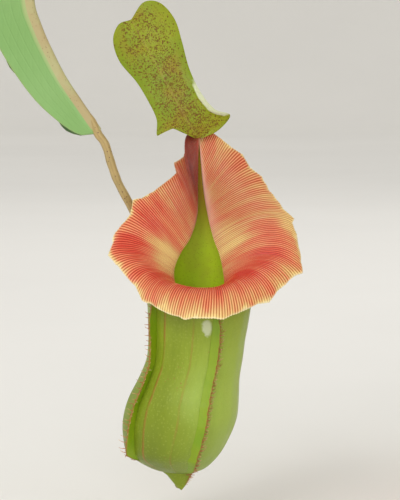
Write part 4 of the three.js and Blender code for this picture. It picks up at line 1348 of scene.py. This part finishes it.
def leaf_face_look(dyes):
    t = Look("leaf_upper_skin")
    out, veins, feather = t.veins(0.12, 0.2)
    body = t.blend(t.patches(24.0, 0.35, 0.7), dyes.leaf, srgb(70, 118, 26))
    body = t.blend(t.times(veins, 0.28), body, srgb(140, 170, 70))
    body = t.blend(t.times(feather, 0.14), body, srgb(150, 178, 84))
    body = t.blend(t.ramp(out, 0.0, 0.055, 0.75, 0.0), body, srgb(150, 160, 84))
    body = t.blend(t.ramp(out, 0.975, 1.0, 0.0, 0.35), body, srgb(120, 90, 40))
    height = t.less(t.times(t.grain(500.0), 0.5), t.plus(t.times(veins, 0.5), t.times(feather, 0.25)))
    return t.finish(body, t.cloud(60.0, 0.26, 0.42), height, 0.0003, Coat_Weight=0.25, Coat_Roughness=0.2)


def leaf_back_look(dyes):
    t = Look("leaf_under_skin")
    out, veins, feather = t.veins(0.14, 0.24)
    body = t.blend(t.patches(20.0, 0.3, 0.7), dyes.leaf_back, srgb(138, 178, 108))
    body = t.blend(t.times(veins, 0.04), body, srgb(104, 150, 84))
    body = t.blend(t.times(feather, 0.03), body, srgb(110, 156, 90))
    body = t.blend(t.ramp(out, 0.09, 0.2, 0.8, 0.0), body, srgb(172, 178, 120))
    body = t.blend(t.ramp(out, 0.97, 1.0, 0.0, 0.3), body, srgb(172, 178, 110))
    height = t.plus(t.times(t.grain(700.0), 0.5), t.plus(t.times(veins, 0.3), t.times(feather, 0.15)))
    return t.finish(body, t.cloud(80.0, 0.42, 0.6), height, 0.00015)


def fibre_look(name, one, two):
    """A dull skin of two tones with small brown dots, for ribs, buds and spurs."""
    t = Look(name)
    body = t.blend(t.patches(60.0), one, two)
    body = t.blend(t.dots(1500.0, 0.36, 0.3), body, srgb(122, 88, 50))
    return t.finish(body, t.cloud(160.0, 0.38, 0.58), t.grain(1300.0), 0.0002)


def rib_look(dyes):
    return fibre_look("rib_skin", srgb(176, 174, 122), srgb(176, 158, 112))


def bud_look(dyes):
    return fibre_look("bud_skin", srgb(140, 152, 66), srgb(160, 120, 70))


def spur_look(dyes):
    return fibre_look("spur_skin", srgb(92, 98, 22), srgb(120, 84, 34))


def tendril_look(dyes):
    t = Look("tendril_skin")
    body = t.blend(t.patches(40.0), dyes.tendril, srgb(172, 150, 98))
    streak = t.stripes(t.plus(t.times(t.across, 7.0), t.noise(t.at, 50.0)), 0.05, 0.3)
    body = t.blend(t.times(streak, 0.25), body, srgb(112, 78, 44))
    body = t.blend(t.dots(1100.0, 0.4, 0.35), body, srgb(92, 48, 26))
    body = t.blend(t.ramp(t.up, 0.82, 0.95, 0.0, 0.7), body, srgb(128, 140, 56))
    return t.finish(body, t.cloud(160.0, 0.36, 0.55), t.grain(1400.0), 0.0002)


# The veins that run up a cup: place round it, half width and strength.
CUP_VEINS = [
    (0.886, 0.007, 0.62), (0.985, 0.006, 0.3), (0.2, 0.006, 0.2), (0.35, 0.006, 0.3), (0.5, 0.006, 0.3),
    (0.68, 0.006, 0.3),
]


def cup_look(dyes):
    t = Look("cup_skin")
    body = t.blend(t.patches(30.0), dyes.cup, dyes.cup_light)
    long_way = t.vector(t.times(t.across, 60.0), t.times(t.up, 0.7))
    body = t.blend(t.ramp(t.noise(long_way, 2.0), 0.42, 0.66, 0.0, 0.3), body, srgb(118, 138, 20))
    # darker olive on the left, and painted shade at the foot of the cup
    body = t.tint(body, "shade", 0.8, srgb(102, 118, 12))
    body = t.blend(t.times(t.dots(1200.0, 0.6, 0.6), 0.3), body, srgb(160, 172, 70))
    red = t.times(t.dots(760.0, 0.35, 0.3), t.patches(60.0, 0.5, 0.7))
    body = t.blend(t.times(red, 0.8), body, srgb(152, 84, 40))
    raised = 0.0
    for place, width, strength in CUP_VEINS:
        vein = t.line(place, width, 0.012)
        broken = t.times(vein, t.cloud(110.0, 0.25, 1.0, 0.35, 0.6))
        body = t.blend(t.times(broken, strength), body, srgb(164, 92, 44))
        raised = t.math("MAXIMUM", raised, vein)
    body = t.tint(body, "light", 0.75, srgb(178, 210, 104))
    # a whitish painted highlight high on the front of the cup, and a fainter whitish patch lower down
    bloom = t.times(t.value("bloom"), t.cloud(260.0, 0.35, 1.0, 0.3, 0.62))
    body = t.blend(t.ramp(bloom, 0.5, 1.15, 0.0, 0.75), body, srgb(208, 216, 184))
    height = t.plus(t.grain(1200.0), t.times(raised, 0.8))
    return t.finish(body, t.cloud(140.0, 0.36, 0.52), height, 0.0002, Coat_Weight=0.06, Coat_Roughness=0.3,
                    Specular_IOR_Level=0.35, **flesh(0.08))


def lining_look(dyes):
    t = Look("cup_lining")
    body = t.blend(t.ramp(t.up, 6.5, 9.5), srgb(180, 212, 18), srgb(192, 218, 36))
    body = t.blend(t.patches(70.0, 0.4, 0.7), body, srgb(186, 200, 48))
    body = t.blend(t.ramp(t.up, 10.0, 12.4), body, srgb(152, 122, 12))
    body = t.blend(t.times(t.dots(1500.0, 0.5, 0.5), 0.4), body, srgb(150, 158, 20))
    return t.finish(body, t.cloud(140.0, 0.55, 0.7), t.grain(900.0), 0.0002, Specular_IOR_Level=0.2,
                    **flesh(0.1))


def wing_look(dyes):
    t = Look("wing_skin")
    body = t.blend(t.patches(90.0), srgb(118, 152, 2), srgb(132, 158, 8))
    rim = t.ramp(t.plus(t.across, t.times(t.noise(t.at, 500.0), 0.3)), 0.98, 1.14)
    body = t.blend(t.times(rim, 0.8), body, srgb(158, 98, 44))
    return t.finish(body, t.cloud(160.0, 0.4, 0.55), t.grain(1200.0), 0.0002)


def hair_look(dyes):
    t = Look("hair_skin")
    body = t.blend(t.ramp(t.up, 0.3, 1.0), dyes.hair, srgb(216, 178, 132))
    body = t.blend(t.patches(420.0, 0.46, 0.66), body, srgb(140, 62, 34))
    return t.finish(body, t.ramp(t.up, 0.0, 1.0, 0.6, 0.45), t.grain(2600.0), 0.00005)


def collar_look(dyes):
    """Red and cream bands along the ribs, dark lines between the ribs, and a pale crest on each, partly its
    own colour and partly a painted highlight.
    """
    t = Look("collar_skin")
    wide = t.vector(t.times(t.across, 0.11), t.times(t.up, 1.3))
    thin = t.vector(t.times(t.across, 0.75), t.times(t.up, 0.7), 3.0)
    bands = t.plus(t.swing(wide, 1.0, 2.0, 1.25), t.swing(thin, 1.0, 1.0, 0.55))
    edge = t.plus(t.up, t.swing(wide, 2.2, 3.0, 0.34))
    redness = t.plus(bands, t.plus(t.value("blush"), 0.33))
    redness = t.less(redness, t.ramp(edge, 0.92, 1.08, 0.0, 0.7))
    body = t.colours(redness, [
        (0.0, dyes.collar_cream), (0.26, srgb(222, 164, 98)), (0.5, srgb(222, 112, 66)),
        (0.76, dyes.collar_red), (1.0, srgb(208, 40, 18)),
    ])
    # a very dark red left of the neck: partly its own deeper red, partly painted shade
    body = t.tint(body, "maroon", 0.95, srgb(98, 12, 8))
    body = t.tint(body, "shade", 0.75, srgb(170, 92, 44))
    ink = t.colours(redness, [(0.0, srgb(170, 122, 60)), (0.4, srgb(160, 62, 26)), (1.0, srgb(150, 18, 8))])
    body = t.blend(t.times(t.stripes(t.across, 0.05, 0.3), 0.85), body, ink)
    # a pale crest on each rib: partly its own colour, partly a painted highlight
    crown_and_highlight = t.times(t.stripes(t.plus(t.across, 0.5), 0.0, 0.22), 0.5)
    crown_and_highlight = t.times(crown_and_highlight, t.ramp(redness, 0.6, 0.95, 1.0, 0.4))
    crown_and_highlight = t.times(crown_and_highlight, t.ramp(t.value("maroon"), 0.0, 0.6, 1.0, 0.3))
    crown_tone = t.colours(redness, [(0.2, srgb(244, 224, 172)), (0.7, srgb(252, 190, 152))])
    body = t.blend(crown_and_highlight, body, crown_tone)
    body = t.tint(body, "pale", 1.0, srgb(226, 168, 148))
    body = t.blend(t.ramp(edge, 0.98, 1.06, 0.0, 0.7), body, srgb(238, 226, 182))
    body = t.blend(t.ramp(t.up, 0.975, 1.0, 0.0, 0.6), body, srgb(240, 224, 180))
    height = t.plus(t.times(crown_and_highlight, 0.6), t.times(t.grain(1600.0), 0.4))
    return t.finish(body, t.cloud(120.0, 0.34, 0.46), height, 0.00015, Coat_Weight=0.1, Coat_Roughness=0.2,
                    Specular_IOR_Level=0.35, **flesh(0.12, (0.003, 0.001, 0.0006)))


def lid_look(dyes):
    """Brown spots of two sizes, dense along the middle and near the base."""
    t = Look("lid_skin")
    body = t.blend(t.patches(34.0), dyes.lid, srgb(144, 152, 14))
    middle = t.ramp(t.away(t.across, 0.5), 0.2, 0.48, 1.0, 0.12)
    dense = t.times(middle, t.ramp(t.up, 0.05, 0.95, 1.0, 0.6))
    big = t.dots(1500.0, 0.7, dense)
    small = t.dots(2200.0, 0.75, dense)
    tan = t.times(t.patches(90.0, 0.42, 0.7), middle)
    body = t.blend(t.times(tan, 0.5), body, srgb(160, 118, 14))
    body = t.blend(t.times(big, 0.85), body, srgb(108, 56, 2))
    body = t.blend(t.times(small, 0.75), body, srgb(120, 84, 8))
    body = t.blend(t.times(t.line(0.5, 0.035, 0.02), 0.25), body, srgb(170, 150, 70))
    rolled = t.plus(t.value("rolled"), t.times(t.noise(t.at, 420.0), 0.5))
    body = t.blend(t.ramp(rolled, 0.62, 0.95, 0.0, 0.92), body, srgb(206, 210, 176))
    height = t.less(t.grain(1200.0), t.times(big, 0.6))
    return t.finish(body, t.cloud(150.0, 0.42, 0.58), height, 0.0002, Specular_IOR_Level=0.35,
                    **flesh(0.08))


def floor_look(colour):
    t = Look("floor_paint")
    shadowed = tuple(0.97 * v for v in colour[:3]) + (1.0,)
    body = t.blend(t.patches(1.5, 0.3, 0.7), colour, shadowed)
    return t.finish(body, t.cloud(6.0, 0.75, 0.85), t.noise(t.at, 500.0), 0.00005)


LOOKS = {
    "clay": clay_look, "bark": bark_look, "perlite": perlite_look, "stem": stem_look,
    "leaf_face": leaf_face_look, "leaf_back": leaf_back_look, "rib": rib_look, "tendril": tendril_look,
    "bud": bud_look, "cup": cup_look, "lining": lining_look, "wing": wing_look, "hair": hair_look,
    "collar": collar_look, "lid": lid_look, "spur": spur_look,
}
MADE_LOOKS = {}


def looks_of(*names):
    """The named materials. Each is made once, when a piece first asks for it."""
    for name in names:
        if name not in MADE_LOOKS:
            MADE_LOOKS[name] = LOOKS[name](bpy.context.scene.pitcher_plant_colours)
    return [MADE_LOOKS[name] for name in names]


# ---------------------------------------------------------------- settings


def length(name, description, default, low, high):
    return bpy.props.FloatProperty(
        name=name, description=description, default=default, min=low, max=high, unit="LENGTH"
    )


def whole(name, description, default, low, high):
    return bpy.props.IntProperty(name=name, description=description, default=default, min=low, max=high)


def colour(name, description, *default):
    return bpy.props.FloatVectorProperty(
        name=name, description=description, default=srgb(*default), size=4, min=0, max=1, subtype="COLOR"
    )


def power(name, description, default):
    return bpy.props.FloatProperty(name=name, description=description, default=default, min=0, unit="POWER")


class PitcherPlantSizes(bpy.types.PropertyGroup):
    collar_ribs: whole("Collar ribs", "Ribs round the largest pitcher's collar", 232, 60, 300)
    rib_relief: length("Rib relief", "How far a collar rib stands out or in", 0.00013, 0.0, 0.0004)
    wing_hairs: whole("Wing hairs", "Hairs on each wing of the largest cup", 62, 10, 160)
    hair_length: length("Hair length", "The longest wing hairs", 0.0027, 0.0005, 0.003)
    bark_chips: whole("Bark chips", "Chips of bark on top of the potting mix", 420, 50, 900)
    white_grains: whole("White grains", "Grains of perlite among the bark", 120, 0, 400)
    seed: whole("Seed", "Start of the draw that places chips and hairs", 3, 0, 9999)


class PitcherPlantColours(bpy.types.PropertyGroup):
    clay: colour("Clay", "The pot's fired clay", 176, 92, 58)
    leaf: colour("Leaf", "The leaves' upper side", 44, 88, 12)
    leaf_back: colour("Leaf underside", "The leaves' pale underside", 124, 168, 92)
    tendril: colour("Tendril", "The tendrils", 192, 164, 106)
    cup: colour("Cup", "The cups' skin", 128, 144, 20)
    cup_light: colour("Light cup", "The paler patches of the cups' skin", 140, 158, 36)
    collar_red: colour("Collar red", "The collars' red bands", 212, 76, 42)
    collar_cream: colour("Collar cream", "The collars' cream bands and edge", 238, 202, 124)
    lid: colour("Lid", "The lids between their spots", 124, 142, 18)
    hair: colour("Hair", "The hairs on the cups' wings", 176, 108, 62)


class PitcherPlantStage(bpy.types.PropertyGroup):
    floor: colour("Floor", "The floor and the backdrop", 238, 236, 231)
    key_power: power("Key light", "Power of the main light", 7.5)
    fill_power: power("Fill light", "Power of the front light, which the weaker ones follow", 3.2)
    sky: bpy.props.FloatProperty(
        name="Sky", description="Strength of the light from all round", default=0.78, min=0
    )


SETTINGS = {
    "pitcher_plant_sizes": PitcherPlantSizes,
    "pitcher_plant_colours": PitcherPlantColours,
    "pitcher_plant_stage": PitcherPlantStage,
}


# ---------------------------------------------------------------- operators


def add_leaf(branch, spine, home):
    label = "leaf_%d" % (branch["leaf_no"] + 1)
    made = leaf_mesh(spine, branch["leaf"], lambda q: home(branch, q), label + "_blade")
    add_piece(made, looks_of("leaf_face", "leaf_back", "rib"), label)


def add_tendril(label, line, girth, home, bud_rows=0):
    """A tendril. Its last bud_rows rings of faces are its bud's."""
    build = Build().bar(line, girth, TENDRIL_SIDES)
    if bud_rows:
        build.paint[0].reshape(len(line) - 1, TENDRIL_SIDES)[-bud_rows:] = 1
    looks = looks_of("tendril", "bud") if bud_rows else looks_of("tendril")
    add_piece(build.mesh(label + "_skin", home, soft=60), looks, label)


class PLANT_OT_pot(bpy.types.Operator):
    """Makes the thrown clay pot with its rim band and drain holes"""

    bl_idname = "plant.pot"
    bl_label = "Pot"

    def execute(self, context):
        add_piece(pot_mesh("clay_pot"), looks_of("clay"), "pot")
        return {"FINISHED"}


class PLANT_OT_mix(bpy.types.Operator):
    """Makes the potting mix with its bark chips and white grains"""

    bl_idname = "plant.mix"
    bl_label = "Potting mix"

    def execute(self, context):
        sizes = context.scene.pitcher_plant_sizes
        made = mix_mesh(sizes.bark_chips, sizes.white_grains, sizes.seed, "bark_and_grains")
        add_piece(made, looks_of("bark", "perlite"), "potting_mix")
        return {"FINISHED"}


class PLANT_OT_stem(bpy.types.Operator):
    """Makes the stem with the scars of its old leaves"""

    bl_idname = "plant.stem"
    bl_label = "Stem"

    def execute(self, context):
        add_piece(stem_mesh("scarred_stem"), looks_of("stem"), "stem")
        return {"FINISHED"}


class PLANT_OT_leaves(bpy.types.Operator):
    """Makes the folded leaves, those that bear pitchers and the barren ones"""

    bl_idname = "plant.leaves"
    bl_label = "Leaves"

    def execute(self, context):
        for branch in BEARERS:
            add_leaf(branch, bearing_spine(branch, BEARING_ROWS), branch_home)
        for branch in BARREN:
            add_leaf(branch, through(barren_line(branch), np.linspace(0, 1, BARREN_ROWS + 1)), barren_home)
        return {"FINISHED"}


class PLANT_OT_tendrils(bpy.types.Operator):
    """Makes the tendrils, those that carry pitchers and those that end in a bud"""

    bl_idname = "plant.tendrils"
    bl_label = "Tendrils"

    def execute(self, context):
        for k, branch in enumerate(BEARERS):
            line = bearing_tendril_line(branch, TENDRIL_ROWS)
            t = np.linspace(0, 1, len(line))
            girth = TENDRIL_R + (0.06 * np.sin(t * 90) + 0.05 * np.sin(t * 37 + 1)) + 0.1
            spine = bearing_spine(branch, BEARING_ROWS)
            line, girth = rooted(line, girth, spine[-1], headings(spine)[-1], RIB_END_R)
            add_tendril("pitcher_%d_tendril" % (k + 1), line, girth, lambda q, b=branch: branch_home(b, q))
        for branch in BARREN:
            if not branch["tendril"]:
                continue
            line, way = budded_line(branch)
            line = through(line, np.linspace(0, 1, BUDDED_ROWS + 1))
            t = np.linspace(0, 1, len(line))
            swell = branch["bud"] * np.sin(math.pi * clamp01((t - 0.8) / 0.22)) ** 0.7
            girth = TENDRIL_R * 0.8 * mix(1, 0.7, t) + swell
            rib = RIB_END_R * branch["leaf"]["scale"]
            line, girth = rooted(line, girth, barren_line(branch)[-1], way, rib)
            label = "tendril_%d" % (branch["leaf_no"] + 1)
            add_tendril(label, line, girth, lambda q, b=branch: barren_home(b, q), BUD_ROWS)
        return {"FINISHED"}


class PLANT_OT_cups(bpy.types.Operator):
    """Makes the pitchers' cups with their fringed wings"""

    bl_idname = "plant.cups"
    bl_label = "Cups"

    def execute(self, context):
        sizes = context.scene.pitcher_plant_sizes
        for k, branch in enumerate(BEARERS):
            label = "pitcher_%d_cup" % (k + 1)
            hairs = int(sizes.wing_hairs * branch["scale"])
            made = cup_mesh(branch, sizes.seed + k, hairs, sizes.hair_length / MM, label + "_skin")
            add_piece(made, looks_of("cup", "lining", "wing", "hair"), label)
        return {"FINISHED"}


class PLANT_OT_collars(bpy.types.Operator):
    """Makes the pitchers' ribbed collars"""

    bl_idname = "plant.collars"
    bl_label = "Collars"

    def execute(self, context):
        sizes = context.scene.pitcher_plant_sizes
        for k, branch in enumerate(BEARERS):
            label = "pitcher_%d_collar" % (k + 1)
            ribs = int(sizes.collar_ribs * mix(0.55, 1, branch["scale"]))
            made = collar_mesh(branch, ribs, sizes.rib_relief / MM, sizes.seed + 20 + k, label + "_ribs")
            add_piece(made, looks_of("collar"), label)
        return {"FINISHED"}


class PLANT_OT_lids(bpy.types.Operator):
    """Makes the pitchers' spotted lids with their stalks and spurs"""

    bl_idname = "plant.lids"
    bl_label = "Lids"

    def execute(self, context):
        for k, branch in enumerate(BEARERS):
            label = "pitcher_%d_lid" % (k + 1)
            add_piece(lid_mesh(branch, label + "_blade"), looks_of("lid", "spur"), label)
        return {"FINISHED"}


def aim(piece, target):
    piece.rotation_euler = (Vector(target) - piece.location).to_track_quat("-Z", "Y").to_euler()


def add_floor(scene, paint):
    """A round floor whose edge curves up into a backdrop."""
    bend = FLOOR_WALL_R - FLOOR_R
    line = [(FLOOR_R * k / 12 + 0.5, 0) for k in range(13)]
    curve = np.linspace(0, math.pi / 2, 25)[1:]
    line += [(FLOOR_R + bend * math.sin(a), bend * (1 - math.cos(a))) for a in curve]
    line += [(FLOOR_WALL_R, BACKDROP_TOP)]
    rings = [hoop(r, z, turns(FLOOR_SIDES)) for r, z in line]
    made = Build().loft(np.array(rings), caps=(True, False)).mesh("floor_and_backdrop", soft=80)
    made.materials.append(floor_look(tuple(paint)))
    floor = bpy.data.objects.new(made.name, made)
    scene.collection.objects.link(floor)


def add_lights(scene, settings):
    world = bpy.data.worlds.new("soft_room")
    world.use_nodes = True
    sky = world.node_tree.nodes["Background"]
    sky.inputs["Color"].default_value = (1.0, 0.99, 0.97, 1.0)
    sky.inputs["Strength"].default_value = settings.sky
    scene.world = world
    for name, place, size, watts, target in (
        ("key", (-0.75, -1.1, 1.15), 0.7, settings.key_power, (-0.13, 0, 0.12)),
        ("front", (-0.1, -1.3, 0.42), 0.5, settings.fill_power, (-0.15, 0, 0.12)),
        ("fill", (1.0, -0.9, 0.6), 1.0, settings.fill_power * 0.7, (-0.1, 0, 0.12)),
        ("rim", (0.2, 1.2, 1.1), 0.8, settings.fill_power * 0.8, (-0.05, 0, 0.15)),
    ):
        lamp = bpy.data.lights.new(name + "_light", "AREA")
        lamp.shape, lamp.size, lamp.energy = "DISK", size, watts
        light = bpy.data.objects.new(name + "_light", lamp)
        light.location = place
        aim(light, target)
        light.visible_camera = False
        scene.collection.objects.link(light)


def add_camera(scene):
    """A camera that sees the main pitcher from the photograph's side, a little from above."""
    lens = bpy.data.cameras.new("photo_camera")
    lens.sensor_fit = "AUTO"
    lens.sensor_width = SENSOR
    lens.lens = SENSOR / VIEW_SPAN * VIEW_DISTANCE
    lens.clip_start, lens.clip_end = 0.05, 40
    camera = bpy.data.objects.new("photo_camera", lens)
    home = np.array([0, 0, FIRST_LEAF_Z]) - STEM_LOCAL + VIEW_CENTRE
    target = Vector((home[0] + CAMERA_ASIDE, 0, home[2])) * MM
    reach = VIEW_DISTANCE * MM
    camera.location = target + Vector((0, -math.cos(CAMERA_TILT), math.sin(CAMERA_TILT))) * reach
    aim(camera, target)
    scene.collection.objects.link(camera)
    scene.camera = camera
    scene.view_settings.view_transform = "Standard"
    scene.view_settings.exposure = 0.0


class PLANT_OT_stage(bpy.types.Operator):
    """Makes the pale floor that curves up all round, the soft lights and the camera"""

    bl_idname = "plant.stage"
    bl_label = "Stage"

    def execute(self, context):
        settings = context.scene.pitcher_plant_stage
        add_floor(context.scene, settings.floor)
        add_lights(context.scene, settings)
        add_camera(context.scene)
        return {"FINISHED"}


OPERATORS = (
    PLANT_OT_pot, PLANT_OT_mix, PLANT_OT_stem, PLANT_OT_leaves, PLANT_OT_tendrils, PLANT_OT_cups,
    PLANT_OT_collars, PLANT_OT_lids, PLANT_OT_stage,
)


class PLANT_PT_sidebar(bpy.types.Panel):
    """Lists the plant's pieces and its settings"""

    bl_idname = "PLANT_PT_sidebar"
    bl_label = "Pitcher Plant"
    bl_space_type = "VIEW_3D"
    bl_region_type = "UI"
    bl_category = "Pitcher Plant"

    def draw(self, context):
        column = self.layout.column()
        for operator in OPERATORS:
            column.operator(operator.bl_idname)
        for settings in SETTINGS:
            group = getattr(context.scene, settings)
            for key in group.bl_rna.properties.keys():
                if key not in ("rna_type", "name"):
                    column.prop(group, key)


def register():
    for kind in (*SETTINGS.values(), *OPERATORS, PLANT_PT_sidebar):
        bpy.utils.register_class(kind)
    for name, kind in SETTINGS.items():
        setattr(bpy.types.Scene, name, bpy.props.PointerProperty(type=kind))


def unregister():
    for name in SETTINGS:
        delattr(bpy.types.Scene, name)
    for kind in reversed((*SETTINGS.values(), *OPERATORS, PLANT_PT_sidebar)):
        bpy.utils.unregister_class(kind)


def main():
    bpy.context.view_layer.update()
    register()
    for operator in OPERATORS:
        group, name = operator.bl_idname.split(".")
        result = getattr(getattr(bpy.ops, group), name)()
        need(result == {"FINISHED"}, operator.bl_label + " wasn't made")


if __name__ == "__main__":
    main()
